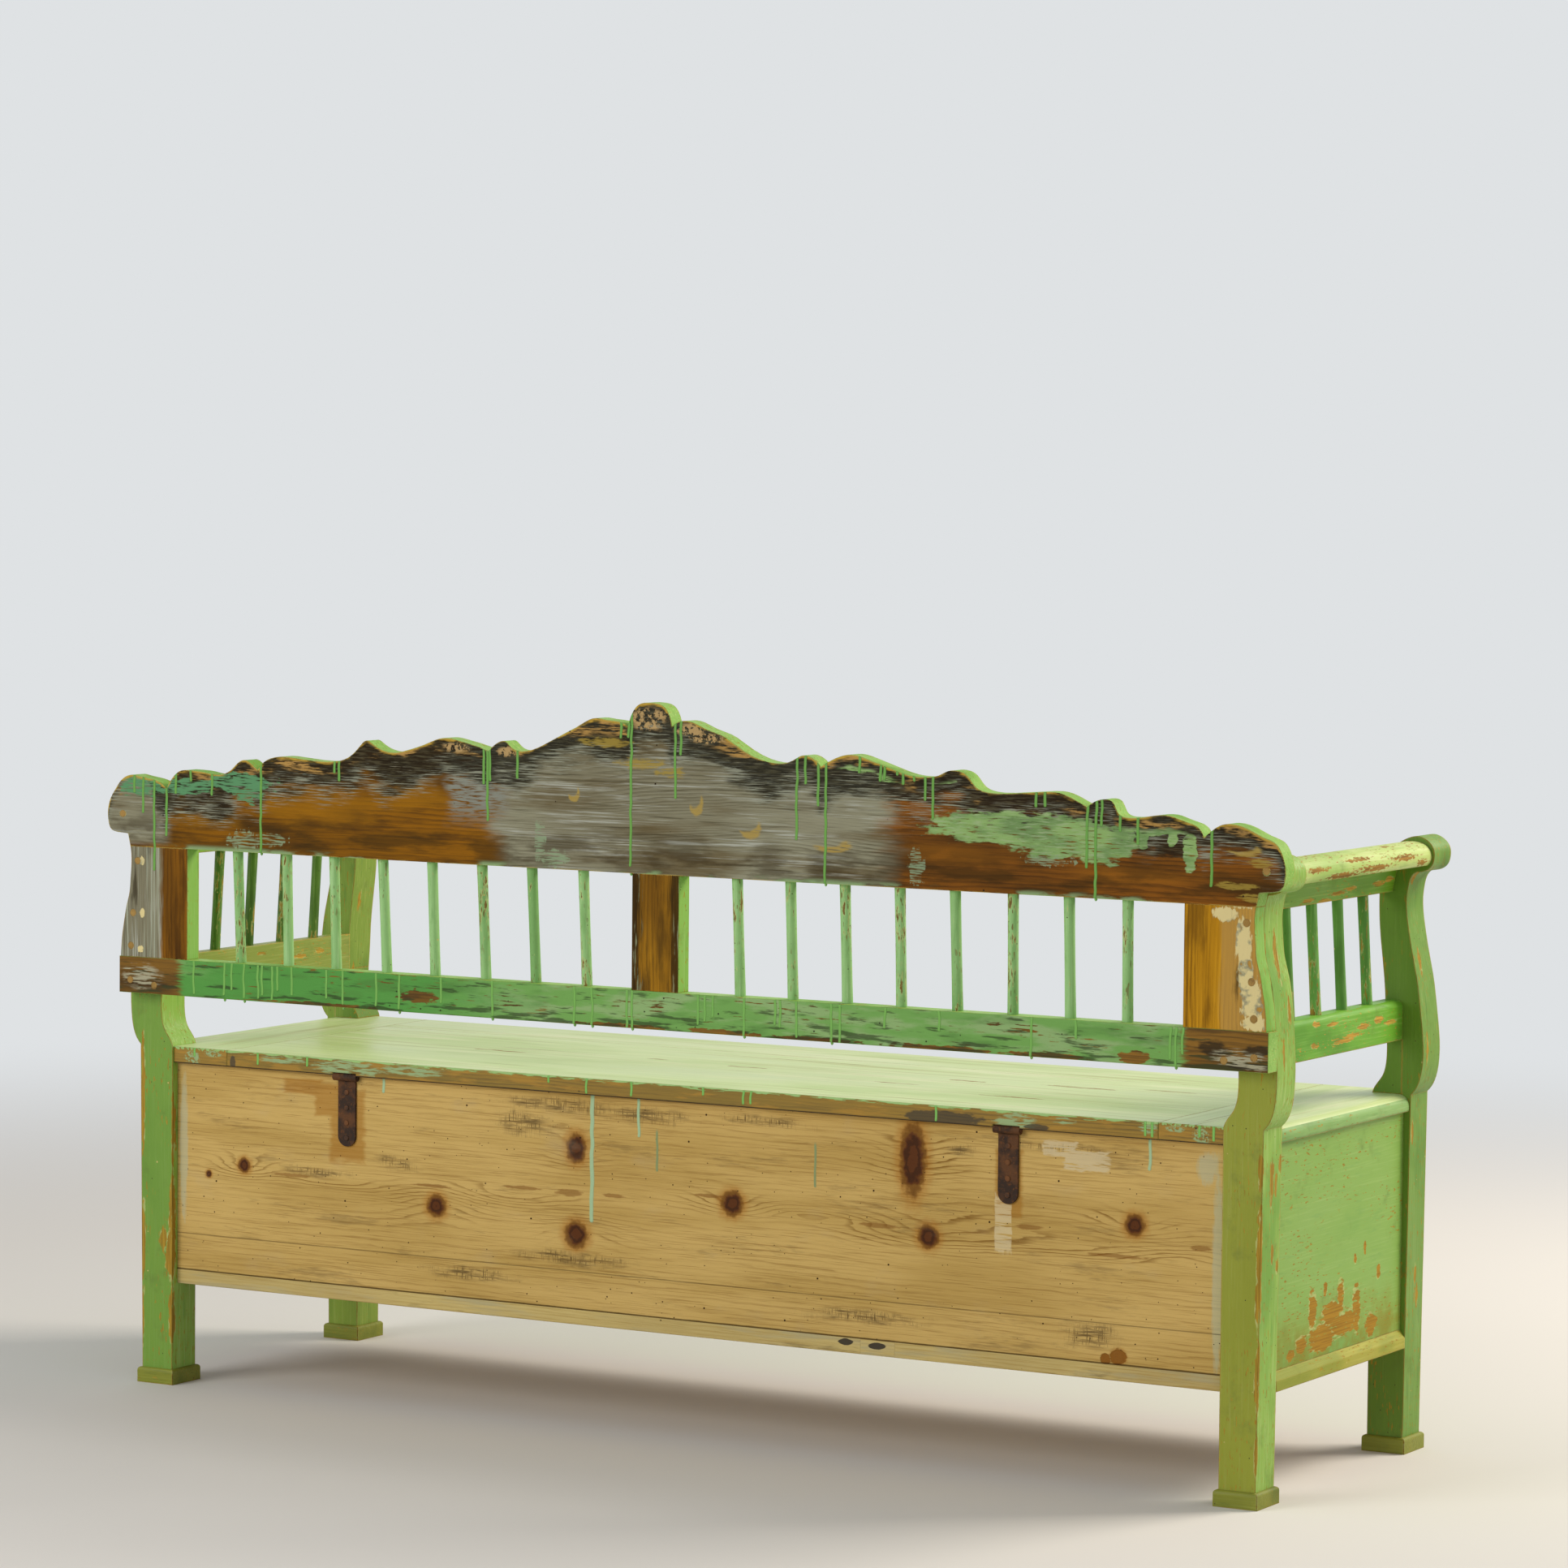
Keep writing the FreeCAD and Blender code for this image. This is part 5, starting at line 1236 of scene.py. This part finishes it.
@dataclass(frozen=True)
class LedgerPine:
    """The narrow strip under the back board: paler sawn pine with small knots."""

    name: str
    seed: float = 0.0
    blot: tuple[Spot, ...] = ()

    def material(self) -> bpy.types.Material:
        """Make the strip's material.

        Returns:
            The material.
        """
        shade = Shade(self.name)
        wood = Pine(early="#cbb574", late="#9c7a38", aged="#b7a166", ring=5.0, flame=5.0, contrast=0.5)
        skin = RawPine(self.name, wood=wood, soil=0.7, seed=self.seed).skin(shade)
        grey = shade.streaks(Way.X, 160.0, 16.0, detail=4.0, seed=self.seed + 3.0)
        skin.lay(shade.mask(grey, 0.5, 0.7, 0.6), "#a9a382", rough=0.85)
        if self.blot:
            skin.lay(shade.spots(self.blot, 0.4, Way.X, 6.0), "#4a4336", rough=0.85)
        shade.soften(1.6)
        return skin.close(specular=0.08)


@dataclass(frozen=True)
class SeatPaint:
    """Pale green oil paint on the seat, rubbed by sitting: fine cracks, brown scuffs, bare edges."""

    name: str
    along: Way = Way.X
    coats: Coats = ("#c6d692", "#e0e8b0", "#b0c67c")
    side_coats: Coats = ("#86ad5c", "#9dbd73", "#648f3d")
    scuffs: tuple[Spot, ...] = ()
    edge_coats: tuple[Spot, ...] = ()
    edge_stains: tuple[Spot, ...] = ()
    edge_runs: tuple[Pair, ...] = ()
    seed: float = 0.0

    def top(self, shade: Shade) -> Skin:
        """Give the painted upper side.

        Args:
            shade: The material that it is for.

        Returns:
            The surface.
        """
        # The bristle marks are drawn 3 mm wide instead of under 1 mm, so that they show.
        brush = shade.streaks(self.along, 160.0, 3.0, seed=self.seed + 0.7)
        cloud = shade.streaks(self.along, 420.0, 110.0, seed=self.seed + 2.9)
        full, thin, deep = self.coats
        skin = Skin(shade, full, shade.put("MapRange", cloud, 0.3, 0.7, 0.3, 0.46), shade.share(brush, 0.35))
        skin.lay(shade.mask(brush, 0.46, 0.74, 0.7), thin)
        skin.lay(shade.mask(cloud, 0.48, 0.68, 0.55), deep)
        band = shade.streaks(self.along, 520.0, 16.0, detail=5.0, seed=self.seed + 5.1)
        skin.lay(shade.mask(band, 0.54, 0.7, 0.55), "#a9a866", rough=0.55)
        haze = shade.streaks(self.along, 260.0, 40.0, detail=4.0, seed=self.seed + 12.1)
        skin.lay(shade.mask(haze, 0.52, 0.7, 0.5), "#e4e6bd", rough=0.5)
        # Cracks in old paint are hair-fine. They are drawn about 1 mm wide, so that they show.
        cracks = shade.streaks(self.along, 380.0, 3.2, detail=2.0, seed=self.seed + 8.2)
        sparse = shade.streaks(self.along, 300.0, 50.0, detail=2.0, seed=self.seed + 1.6)
        crack = shade.all_of(shade.mask(cracks, 0.66, 0.72), shade.mask(sparse, 0.5, 0.6))
        skin.lay(crack, "#8a7440", rough=0.7, lift=-0.3)
        return skin

    def material(self) -> bpy.types.Material:
        """Make the seat's material: pale above, green at the sides, bare below and behind.

        Returns:
            The material.
        """
        shade = Shade(self.name)
        skin = self.top(shade)
        fine = shade.streaks(self.along, 28.0, 3.0, detail=4.0, seed=self.seed + 4.4)
        if self.scuffs:
            rubbed = shade.spots(self.scuffs, 0.45, self.along, 5.0)
            skin.lay(shade.all_of(rubbed, shade.mask(fine, 0.4, 0.55)), "#8f7340", rough=0.7)
        side = OilPaint(self.name + "_side", coats=self.side_coats, along=self.along, wear=0.45, chips=0.15,
                        seed=self.seed)
        skin.over(shade.mask(shade.outside(shade.looking(UPWARD)), 0.75, 0.95), side.skin(shade))
        worn = shade.soften(2.4)
        skin.lay(shade.all_of(worn, shade.mask(fine, 0.44, 0.56)), "#a38339", rough=0.75)
        self.add_rear_edge(skin, fine)
        under = Pine(early="#c9ad72", aged="#b1935a", late="#96702f", along=self.along)
        skin.over(shade.looking(DOWNWARD), under.skin(shade, self.seed))
        return skin.close(specular=0.4)

    def add_rear_edge(self, skin: Skin, fine: Value) -> None:
        """Leave the rear edge brown and bare, with paint that ran over it.

        Args:
            skin: The surface.
            fine: A fine noise.
        """
        shade = skin.shade
        edge = Pine(early="#987620", aged="#82691c", late="#5c4712", ring=5.0, shine=0.6)
        bare = edge.skin(shade, self.seed + 0.9)
        glow = shade.streaks(Way.X, 60.0, 9.0, detail=4.0, seed=self.seed + 15.0)
        bare.lay(shade.mask(glow, 0.5, 0.66, 0.6), "#b0832a", rough=0.7)
        if self.edge_coats:
            cover = shade.spots(self.edge_coats, 0.55, Way.X, 4.0, soft=0.4)
            bare.lay(shade.all_of(cover, shade.mask(fine, 0.42, 0.52)), "#93a973", rough=0.55, lift=0.2)
        if self.edge_stains:
            stain = shade.spots(self.edge_stains, 0.45, Way.X, 5.0)
            bare.lay(shade.share(stain, 0.8), "#3a352a", rough=0.8)
        dribble = shade.put("Math", fine, -18.0 * MM, shade.z, operation="MULTIPLY_ADD")
        bare.lay(shade.mask(dribble, 485.6 * MM, 486.6 * MM), "#97bd6c", rough=0.4, lift=0.3)
        bare.lay(shade.below(474.8, 0.8), "#2a1d0a", rough=0.8)
        bare.lay(shade.dots(34.0, 1.8, 0.4, seed=self.seed), "#2c2110", lift=-0.5)
        if self.edge_runs:
            bare.lay(shade.runs(self.edge_runs, 2.4), "#79ba54", rough=0.3, lift=0.7)
        skin.over(shade.looking(REARWARD), bare)


class Finish(Protocol):
    """Something that can be made into a material."""

    def material(self) -> bpy.types.Material:
        """Give the finished material."""


@dataclass
class Assembly:
    """A group of the bench's pieces that belong together."""

    nodes: dict[str, bpy.types.Object]

    def dress(self, finish: Finish, *names: str) -> None:
        """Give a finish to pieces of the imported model.

        Args:
            finish: The finish.
            names: The pieces that take it.
        """
        material = finish.material()
        for name in names:
            for slot in self.nodes[name].material_slots:
                slot.material = material
            LOG.info("%s: %s", name, material.name)


@dataclass
class BackFrame(Assembly):
    """The back: crest board, stiles, bottom rail, spindles and pegs."""

    drop_radius: float = 2.3
    drop_length: float = 7.0
    rear_face: float = 283.0
    hanging: tuple[Pair, ...] = (
        (669, 789), (-262, 789), (-669, 789), (46, 789), (733, 575), (698, 575), (525, 575),
        (429, 575), (272, 575), (136, 575), (107, 575), (42, 575), (-137, 575), (-274, 575),
        (-577, 575), (-789, 575),
    )

    def build(self) -> None:
        """Dress the pieces and hang the paint drops."""
        self.dress(CrestBack("weathered_stained_pine_crest"), "crest_board")
        self.dress(RailBack("brushed_paint_pine_rail"), "back_bottom_rail")
        self.dress(StileBack(
            "weathered_pine_stile_left", seed=1.0, stain="#b07c10", bright="#d49c22", rings="#6b4708",
            ring=5.5, contrast=0.95, tan_span=(-960.0, -852.0),
            putty=on_back([(-878, 800, 26, 14), (-884, 742, 12, 34), (-888, 700, 12, 26),
                           (-896, 668, 16, 30), (-858, 778, 18, 10), (-900, 640, 16, 12)]),
        ), "left_back_stile")
        self.dress(StileBack(
            "weathered_pine_stile_right", seed=2.0, stain="#6a440b", bright="#935f10",
            grey_span=(846.0, 960.0), runs=((858, 757),),
            putty=on_back([(880, 768, 5, 7), (880, 692, 5, 7), (882, 640, 5, 6)]),
        ), "right_back_stile")
        self.dress(StileBack(
            "stained_pine_centre_stile", seed=3.0, stain="#754f0c", bright="#ad7b18", rings="#3a2708",
            dark_edges=(-20.0, 30.0),
        ), "centre_back_stile")
        self.dress(OilPaint(
            "brushed_paint_spindles", coats=("#92c078", "#aed193", "#6b9c50"), bare="#86692f",
            shadow="#4d3f1c", wear=0.9, chips=1.2, edge=1.0,
        ), "left_back_spindles", "right_back_spindles")
        pegs = Pine(early="#a5854a", aged="#8d7038", along=Way.Y, across=(1.0, 0.0, 0.6), ring=3.0)
        self.dress(RawPine("pine_pegs", wood=pegs, soil=0.8), "back_frame_pegs")
        self.hang_drops()

    def hang_drops(self) -> None:
        """Hang the set drops of paint from the lower edges of crest and rail."""
        mesh = bpy.data.meshes.new("hanging_paint_drops")
        shape = bmesh.new()
        for x, edge in self.hanging:
            self.add_drop(shape, x, edge)
        bmesh.ops.remove_doubles(shape, verts=shape.verts, dist=0.02 * MM)
        for face in shape.faces:
            face.smooth = True
        shape.to_mesh(mesh)
        shape.free()
        drops = add_object("hanging_paint_drops", mesh)
        paint = OilPaint("set_paint_drops", coats=("#7fb55f", "#9dbd73", "#648f3d"), wear=0.0, chips=0.0,
                         nicks=0.0, edge=0.5)
        mesh.materials.append(paint.material())
        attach(drops, "frame")
        LOG.info("hanging_paint_drops: %d drops", len(self.hanging))

    def add_drop(self, shape: bmesh.types.BMesh, x: float, edge: float) -> None:
        """Add one drop, as rings of corners from its tip up.

        Args:
            shape: The mesh that it joins.
            x: Its place along the edge that it hangs from.
            edge: The height of that edge.
        """
        rings, sides = 9, 12
        y = self.rear_face - 1.15 * self.drop_radius
        turns = [2 * math.pi * step / sides for step in range(sides)]
        loops = []
        for level in range(rings):
            share = level / (rings - 1)
            girth = self.drop_radius * math.sin(math.pi * share) ** 0.8 * (0.45 + 0.75 * (1 - share))
            z = edge - self.drop_length * 0.55 + self.drop_length * share
            places = [(x + girth * math.cos(a), y + girth * math.sin(a), z) for a in turns]
            loops.append([shape.verts.new([v * MM for v in place]) for place in places])
        for low, high in zip(loops, loops[1:]):
            for step in range(sides):
                after = (step + 1) % sides
                shape.faces.new((low[step], low[after], high[after], high[step]))


@dataclass(frozen=True)
class EndLook:
    """The tones, painted shade and worn places in which the two ends differ."""

    rear_leg_back: str
    front_leg: Coats
    front_leg_back: str
    lower_rail: Coats
    spindles: Coats
    rear_leg_spots: tuple[Spot, ...]
    panel_places: tuple[Oval, ...]


PANEL_WEAR: tuple[Oval, ...] = (
    (10, 226, 34, 17), (40, 196, 44, 18), (-30, 206, 46, 15), (-72, 222, 12, 34), (-122, 192, 18, 14),
    (104, 196, 20, 10), (136, 186, 12, 8), (-20, 246, 10, 22), (70, 236, 12, 26), (-66, 290, 5, 7),
    (-98, 300, 4, 8), (-144, 262, 6, 10), (30, 262, 6, 10),
)

END_LOOKS: dict[Side, EndLook] = {
    Side.LEFT: EndLook(
        rear_leg_back="#928c26",
        front_leg=("#6c9234", "#86a450", "#4b7a26"),
        front_leg_back="#65852a",
        lower_rail=("#6ba62c", "#96c25a", "#4f8a20"),
        spindles=("#69a046", "#8dbd68", "#4c7c2e"),
        rear_leg_spots=on_end(Side.LEFT, [
            (226, 430, 6, 30), (201, 447, 5, 12), (192, 528, 7, 20), (213, 421, 4, 16), (220, 332, 4, 14),
            (204, 314, 4, 10), (210, 650, 6, 18), (225, 720, 6, 36), (232, 600, 4, 26),
        ]) + on_corner(Side.LEFT, [
            (341, 50, 5), (277, 34, 5), (171, 56, 5), (70, 34, 4), (444, 26, 4), (600, 40, 3), (720, 40, 3),
        ]),
        panel_places=PANEL_WEAR,
    ),
    Side.RIGHT: EndLook(
        rear_leg_back="#688d33",
        front_leg=("#7c9434", "#98a850", "#567a28"),
        front_leg_back="",
        lower_rail=("#86923a", "#a5a95a", "#6a8034"),
        # The right end's spindles are painted darker green: painted shade, for the shade that falls on this
        # end's arm.
        spindles=("#557a2a", "#7c9a48", "#37521a"),
        rear_leg_spots=tuple(Spot((x, LEG_REAR, z), (reach, 9.0, high)) for x, z, high, reach in (
            (844, 250, 60, 7), (846, 190, 34, 12), (845, 100, 40, 6), (843, 380, 70, 4), (899, 420, 90, 4),
            (898, 200, 60, 4), (862, 214, 16, 7), (899, 90, 40, 3),
        )),
        panel_places=tuple((-0.9 * y - 40.0, 0.7 * (z - 180.0) + 186.0, a, 0.6 * b)
                           for y, z, a, b in PANEL_WEAR),
    ),
}


@dataclass
class EndFrame(Assembly):
    """One end: legs with their posts, foot mouldings, panel, rail, seat board and arm."""

    side: Side = Side.LEFT

    def build(self) -> None:
        """Dress the pieces of this end."""
        word, sign = self.side.word, self.side.sign
        look = END_LOOKS[self.side]
        self.dress_legs(word, sign, look)
        self.dress_panel(word, sign, look)
        self.dress_arm(word, sign, look)
        self.dress(SeatPaint(
            f"pale_seat_paint_{word}_end_board", along=Way.Y, seed=sign + 8.0,
            edge_coats=on_back([(sign * 812, 482, 14, 12), (sign * 775, 490, 16, 5)]),
            edge_runs=((-830, 479), (-810, 483), (808, 486)),
        ), f"{word}_seat_end_board")

    def dress_legs(self, word: str, sign: float, look: EndLook) -> None:
        """Dress the legs, the cheek of the front post and the foot mouldings.

        Args:
            word: This end's name.
            sign: The sign of X at this end.
            look: What sets this end's paint apart.
        """
        self.dress(OilPaint(
            f"worn_paint_{word}_rear_leg", coats=("#8cb247", "#aec874", "#679838"),
            rear_coat=look.rear_leg_back, wear=0.8, chips=0.25, spots=look.rear_leg_spots, seed=sign,
        ), f"{word}_rear_leg")
        self.dress(OilPaint(
            f"worn_paint_{word}_front_leg", coats=look.front_leg, rear_coat=look.front_leg_back,
            wear=0.75, chips=0.25, seed=sign + 4.0,
            spots=on_end(self.side, [(-257, 216, 4, 16), (-228, 445, 4, 16), (-250, 245, 4, 14),
                                     (-235, 560, 4, 26), (-240, 680, 5, 18), (-230, 800, 6, 14)]),
        ), f"{word}_front_leg", f"{word}_front_post_cheek")
        self.dress(OilPaint(
            f"dirty_paint_{word}_feet", coats=("#82862c", "#969a40", "#5f6a22"), wear=0.7, chips=0.2,
            along=Way.X, seed=sign + 2.0,
        ), f"{word}_front_foot_moulding", f"{word}_rear_foot_moulding")

    def dress_panel(self, word: str, sign: float, look: EndLook) -> None:
        """Dress the panel and the rail under it, which are bare wood on their inner faces.

        Args:
            word: This end's name.
            sign: The sign of X at this end.
            look: What sets this end's paint apart.
        """
        inward = (-sign, 0.0, 0.0)
        wood = Pine(along=Way.Y)
        self.dress(OilPaint(
            f"worn_paint_{word}_end_panel", coats=("#84aa4c", "#93b55c", "#6f9c47"), bare="#a97f1e",
            shadow="#8a6412", along=Way.Y, wear=0.4, chips=0.1, spots=on_end(self.side, look.panel_places),
            tear=7.0, brush_relief=0.18, soil="#8a7c12", soil_height=225.0, unpainted=(inward,), wood=wood,
            seed=sign + 6.0,
        ), f"{word}_end_panel")
        self.dress(OilPaint(
            f"worn_paint_{word}_end_rail", coats=("#a5a032", "#b8b44e", "#7f8c28"), along=Way.Y, wear=0.7,
            unpainted=(inward, DOWNWARD), wood=wood, seed=sign + 7.0,
        ), f"{word}_end_rail")

    def dress_arm(self, word: str, sign: float, look: EndLook) -> None:
        """Dress the two arm rails, the roll and the spindles.

        Args:
            word: This end's name.
            sign: The sign of X at this end.
            look: What sets this end's paint apart.
        """
        self.dress(OilPaint(
            f"worn_paint_{word}_lower_arm_rail", coats=look.lower_rail, bare="#c59b3a", along=Way.Y,
            wear=0.6, chips=0.25, seed=sign + 1.5, tear=3.0,
            spots=on_end(self.side, [(12, 614, 16, 3), (-23, 588, 34, 3), (-50, 593, 30, 3),
                                     (-89, 602, 20, 4), (-140, 607, 16, 5), (68, 590, 14, 4),
                                     (64, 618, 12, 4), (-180, 600, 20, 3)]),
        ), f"{word}_arm_lower_rail")
        self.dress(OilPaint(
            f"worn_paint_{word}_upper_arm_rail", coats=("#709f22", "#94b844", "#568618"), bare="#c59b3a",
            along=Way.Y, wear=0.8, chips=0.3, seed=sign + 2.5, tear=3.0,
            spots=on_end(self.side, [(5, 778, 20, 3), (-34, 785, 28, 3), (-73, 789, 20, 3),
                                     (-168, 790, 20, 4), (-200, 794, 14, 4), (60, 781, 18, 3)]),
        ), f"{word}_arm_upper_rail")
        self.dress(OilPaint(
            f"worn_paint_{word}_arm_roll", coats=("#b9cc72", "#d3dc95", "#8fb451"), bare="#a67c2e",
            shadow="#6b4c18", along=Way.Y, wear=1.0, chips=1.28, edge=5.0, seed=sign + 3.5, tear=3.0,
            spots=on_end(self.side, [(-30, 822, 70, 5), (70, 818, 60, 5), (-130, 830, 50, 6),
                                     (150, 830, 40, 5), (20, 836, 50, 3), (-190, 820, 20, 6)]),
        ), f"{word}_arm_roll")
        # The right end's spindle coats carry painted shade: they are darker green for the shade on that arm.
        self.dress(OilPaint(
            f"brushed_paint_{word}_arm_spindles", coats=look.spindles, bare="#ad8a38", wear=0.9,
            chips=1.28, edge=1.0, seed=sign + 5.5,
        ), f"{word}_arm_spindles")


@dataclass
class Box(Assembly):
    """The box under the seat: back boards, ledger, floor and runners."""

    floor_board: float = 132.8

    def build(self) -> None:
        """Dress the boards of the box."""
        self.dress(BoxBackBoard(), "box_back_board", "box_back_lower_board")
        for part, seed, blots in (("left", 0.3, ()), ("patch", 3.1, ((-327, 161, 13, 5),)),
                                  ("right", 5.7, ((-278, 163, 12, 5), (-560, 158, 16, 4)))):
            self.dress(LedgerPine(f"pale_pine_ledger_{part}", seed, on_back(blots)), f"rear_ledger_{part}")
        self.dress(RawPine(
            "unpainted_pine_box_floor", wood=Pine(early="#cdb27a", aged="#bb9d63", late="#a07c3f"),
            soil=0.4, board=self.floor_board, boards_along=Way.Y, seed=2.0,
        ), "box_bottom_boards")
        self.dress(RawPine("unpainted_pine_cleats", wood=Pine(along=Way.Y, early="#c3a468"), seed=3.0),
                   "box_bottom_cleats", "left_bed_runner", "right_bed_runner")


@dataclass
class Lid(Assembly):
    """The hinged part of the seat, with its cleats."""

    def build(self) -> None:
        """Dress the lid."""
        scuffs = ((18, 10, 34, 5), (175, -7, 20, 4), (-487, -38, 60, 6), (-610, -66, 40, 4),
                  (-465, 114, 50, 5), (-250, 60, 40, 4), (420, 30, 50, 5), (-320, -20, 30, 6))
        self.dress(SeatPaint(
            "pale_seat_paint_lid_rear", seed=0.5,
            scuffs=tuple(Spot((x, y, SEAT_TOP), (a, b, 30.0)) for x, y, a, b in scuffs),
            edge_coats=on_back([(540, 484, 62, 12), (430, 487, 60, 8), (-540, 484, 34, 12),
                                (-610, 489, 20, 5), (-735, 488, 16, 8), (655, 489, 46, 5)]),
            edge_stains=on_back([(-430, 481, 62, 9), (-570, 478, 20, 4), (740, 478, 5, 12)]),
            edge_runs=((695, 481), (609, 484), (135, 477), (197, 488), (62, 478), (-119, 479),
                       (-131, 480), (-54, 487), (-419, 477), (-732, 479), (-742, 478)),
        ), "lid_rear_board")
        self.dress(SeatPaint("pale_seat_paint_lid_front", seed=4.5), "lid_front_board")
        wood = Pine(along=Way.Y, across=(1.0, 0.0, 0.35))
        self.dress(RawPine("unpainted_pine_lid_cleats", wood=wood, seed=1.0), "lid_cleats")


@dataclass
class PullOutBed(Assembly):
    """The bed that slides out to the front, with its two folding props."""

    bottom_board: float = 133.7

    def build(self) -> None:
        """Dress the bed and its props."""
        self.dress(OilPaint(
            "worn_paint_bed_front", coats=("#8bb35c", "#a5c27a", "#74a04b"), along=Way.X, wear=0.6,
            chips=0.2, unpainted=(REARWARD, DOWNWARD), seed=9.0,
        ), "bed_front_board")
        self.dress(RawPine(
            "unpainted_pine_bed_sides", soil=0.35, seed=6.0,
            wood=Pine(along=Way.Y, early="#ceb37b", aged="#bfa168", late="#a27e42"),
        ), "left_bed_side", "right_bed_side")
        self.dress(RawPine(
            "unpainted_pine_bed_rails", soil=0.35, seed=7.0,
            wood=Pine(early="#ceb37b", aged="#bfa168", late="#a27e42"),
        ), "bed_front_rail", "bed_rear_rail")
        self.dress(RawPine(
            "unpainted_pine_bed_bottom", soil=0.3, board=self.bottom_board, seed=8.0,
            wood=Pine(along=Way.Y, across=(1.0, 0.0, 0.35), early="#cfb57e", aged="#bda067"),
        ), "bed_bottom_boards")
        self.dress(RawPine("unpainted_pine_props", seed=9.0, wood=Pine(early="#c2a56b", ring=6.0)),
                   "left_prop_leg", "right_prop_leg")


@dataclass
class Ironwork(Assembly):
    """Strap hinges, pins and screws."""

    def build(self) -> None:
        """Dress the iron."""
        self.dress(RustyIron("rusty_forged_iron_strap"),
                   "left_hinge_fixed_strap", "right_hinge_fixed_strap", "left_hinge_lid_leaf",
                   "right_hinge_lid_leaf", "hinge_pins", "prop_leg_pins")
        self.dress(RustyIron("dull_brown_screws", rust="#6d4526", dark="#453022", bright="#9a7a58"),
                   "fixed_strap_screws", "lid_leaf_screws")


@dataclass(frozen=True)
class Lamp:
    """A square soft lamp."""

    name: str
    place: Triple
    width: float
    power: float
    colour: str


@dataclass
class Studio:
    """The pale floor, the soft lamps and the camera."""

    floor_radius: float = 14000.0
    fade: Pair = (1900.0, 5200.0)
    lamps: tuple[Lamp, ...] = (
        Lamp("window", (-2900.0, -2700.0, 3300.0), 2200.0, 215.0, "#fff6e9"),
        Lamp("room", (2600.0, 5200.0, 2600.0), 3000.0, 170.0, "#fbfaf8"),
    )
    lit_place: Triple = (0.0, 0.0, 500.0)
    camera_place: Triple = (-3840.1, 6568.5, 1358.4)
    yaw: float = 0.5253
    pitch: float = 0.0601
    roll: float = 0.0092
    lens: float = 123.66
    sensor: float = 36.0
    sight: float = 60000.0
    backdrop: str = "#dfe2e4"
    ambient: float = 0.46

    def build(self) -> None:
        """Build the whole studio."""
        bpy.context.scene.view_settings.view_transform = "Standard"
        self.add_floor()
        self.add_sky()
        for lamp in self.lamps:
            self.add_lamp(lamp)
        self.add_camera()

    def add_floor(self) -> None:
        """Lay a pale round floor that fades into the backdrop."""
        mesh = bpy.data.meshes.new("studio_floor")
        shape = bmesh.new()
        bmesh.ops.create_circle(shape, cap_ends=True, segments=96, radius=self.floor_radius * MM)
        shape.to_mesh(mesh)
        shape.free()
        floor = add_object("studio_floor", mesh)
        shade = Shade("pale_studio_floor")
        shade.feed(shade.surface, {"Base Color": "#dcd8d0", "Roughness": 0.9})
        glow = shade.put("Emission", self.backdrop, 1.0)
        away = shade.put("VectorMath", shade.place, operation="LENGTH")
        fade = shade.mask(away, self.fade[0] * MM, self.fade[1] * MM)
        seen = shade.put("LightPath").outputs["Is Camera Ray"]
        mixed = shade.put("MixShader", shade.all_of(fade, seen), shade.surface, glow)
        shade.feed(shade.tree.nodes["Material Output"], {"Surface": mixed})
        mesh.materials.append(shade.material)

    def add_sky(self) -> None:
        """Light the room evenly, and show the backdrop's colour behind the bench."""
        world = bpy.data.worlds.new("studio")
        world.use_nodes = True
        world.node_tree.nodes.clear()
        graph = Graph(world.node_tree)
        rays = graph.put("LightPath").outputs
        seen = graph.put("Math", rays["Is Camera Ray"], rays["Is Glossy Ray"], operation="MAXIMUM")
        soft = graph.put("Background", "#f4f7ff", self.ambient)
        shown = graph.put("Background", self.backdrop)
        graph.put("OutputWorld", graph.put("MixShader", seen, soft, shown))
        bpy.context.scene.world = world

    def add_lamp(self, lamp: Lamp) -> None:
        """Hang one lamp, and point it at the bench.

        Args:
            lamp: The lamp.
        """
        data = bpy.data.lights.new(lamp.name, "AREA")
        data.size = lamp.width * MM
        data.energy = lamp.power
        data.color = linear(lamp.colour)[:3]
        hung = add_object(lamp.name, data)
        hung.location = Vector(lamp.place) * MM
        toward = (Vector(self.lit_place) - Vector(lamp.place)).normalized()
        hung.rotation_euler = toward.to_track_quat("-Z", "Y").to_euler()

    def add_camera(self) -> None:
        """Set the camera behind the bench, off to its left end."""
        ahead = Vector((math.sin(self.yaw) * math.cos(self.pitch), -math.cos(self.yaw) * math.cos(self.pitch),
                        -math.sin(self.pitch)))
        level = Vector((-math.cos(self.yaw), -math.sin(self.yaw), 0.0))
        upright = level.cross(ahead)
        right = math.cos(self.roll) * level + math.sin(self.roll) * upright
        up = -math.sin(self.roll) * level + math.cos(self.roll) * upright
        data = bpy.data.cameras.new("camera")
        data.lens = self.lens
        data.sensor_width = self.sensor
        data.clip_end = self.sight * MM
        camera = add_object("camera", data)
        turn = Matrix((right, up, -ahead)).transposed()
        camera.matrix_world = Matrix.Translation(Vector(self.camera_place) * MM) @ turn.to_4x4()
        bpy.context.scene.camera = camera


def main() -> None:
    """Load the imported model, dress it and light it."""
    logging.basicConfig(level=logging.INFO, format="%(name)s: %(message)s")
    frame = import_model()
    nodes = frame["nodes"]
    Studio().build()
    BackFrame(nodes).build()
    for side in Side:
        EndFrame(nodes, side).build()
    for assembly in (Box(nodes), Lid(nodes), PullOutBed(nodes), Ironwork(nodes)):
        assembly.build()


if __name__ == "__main__":
    main()
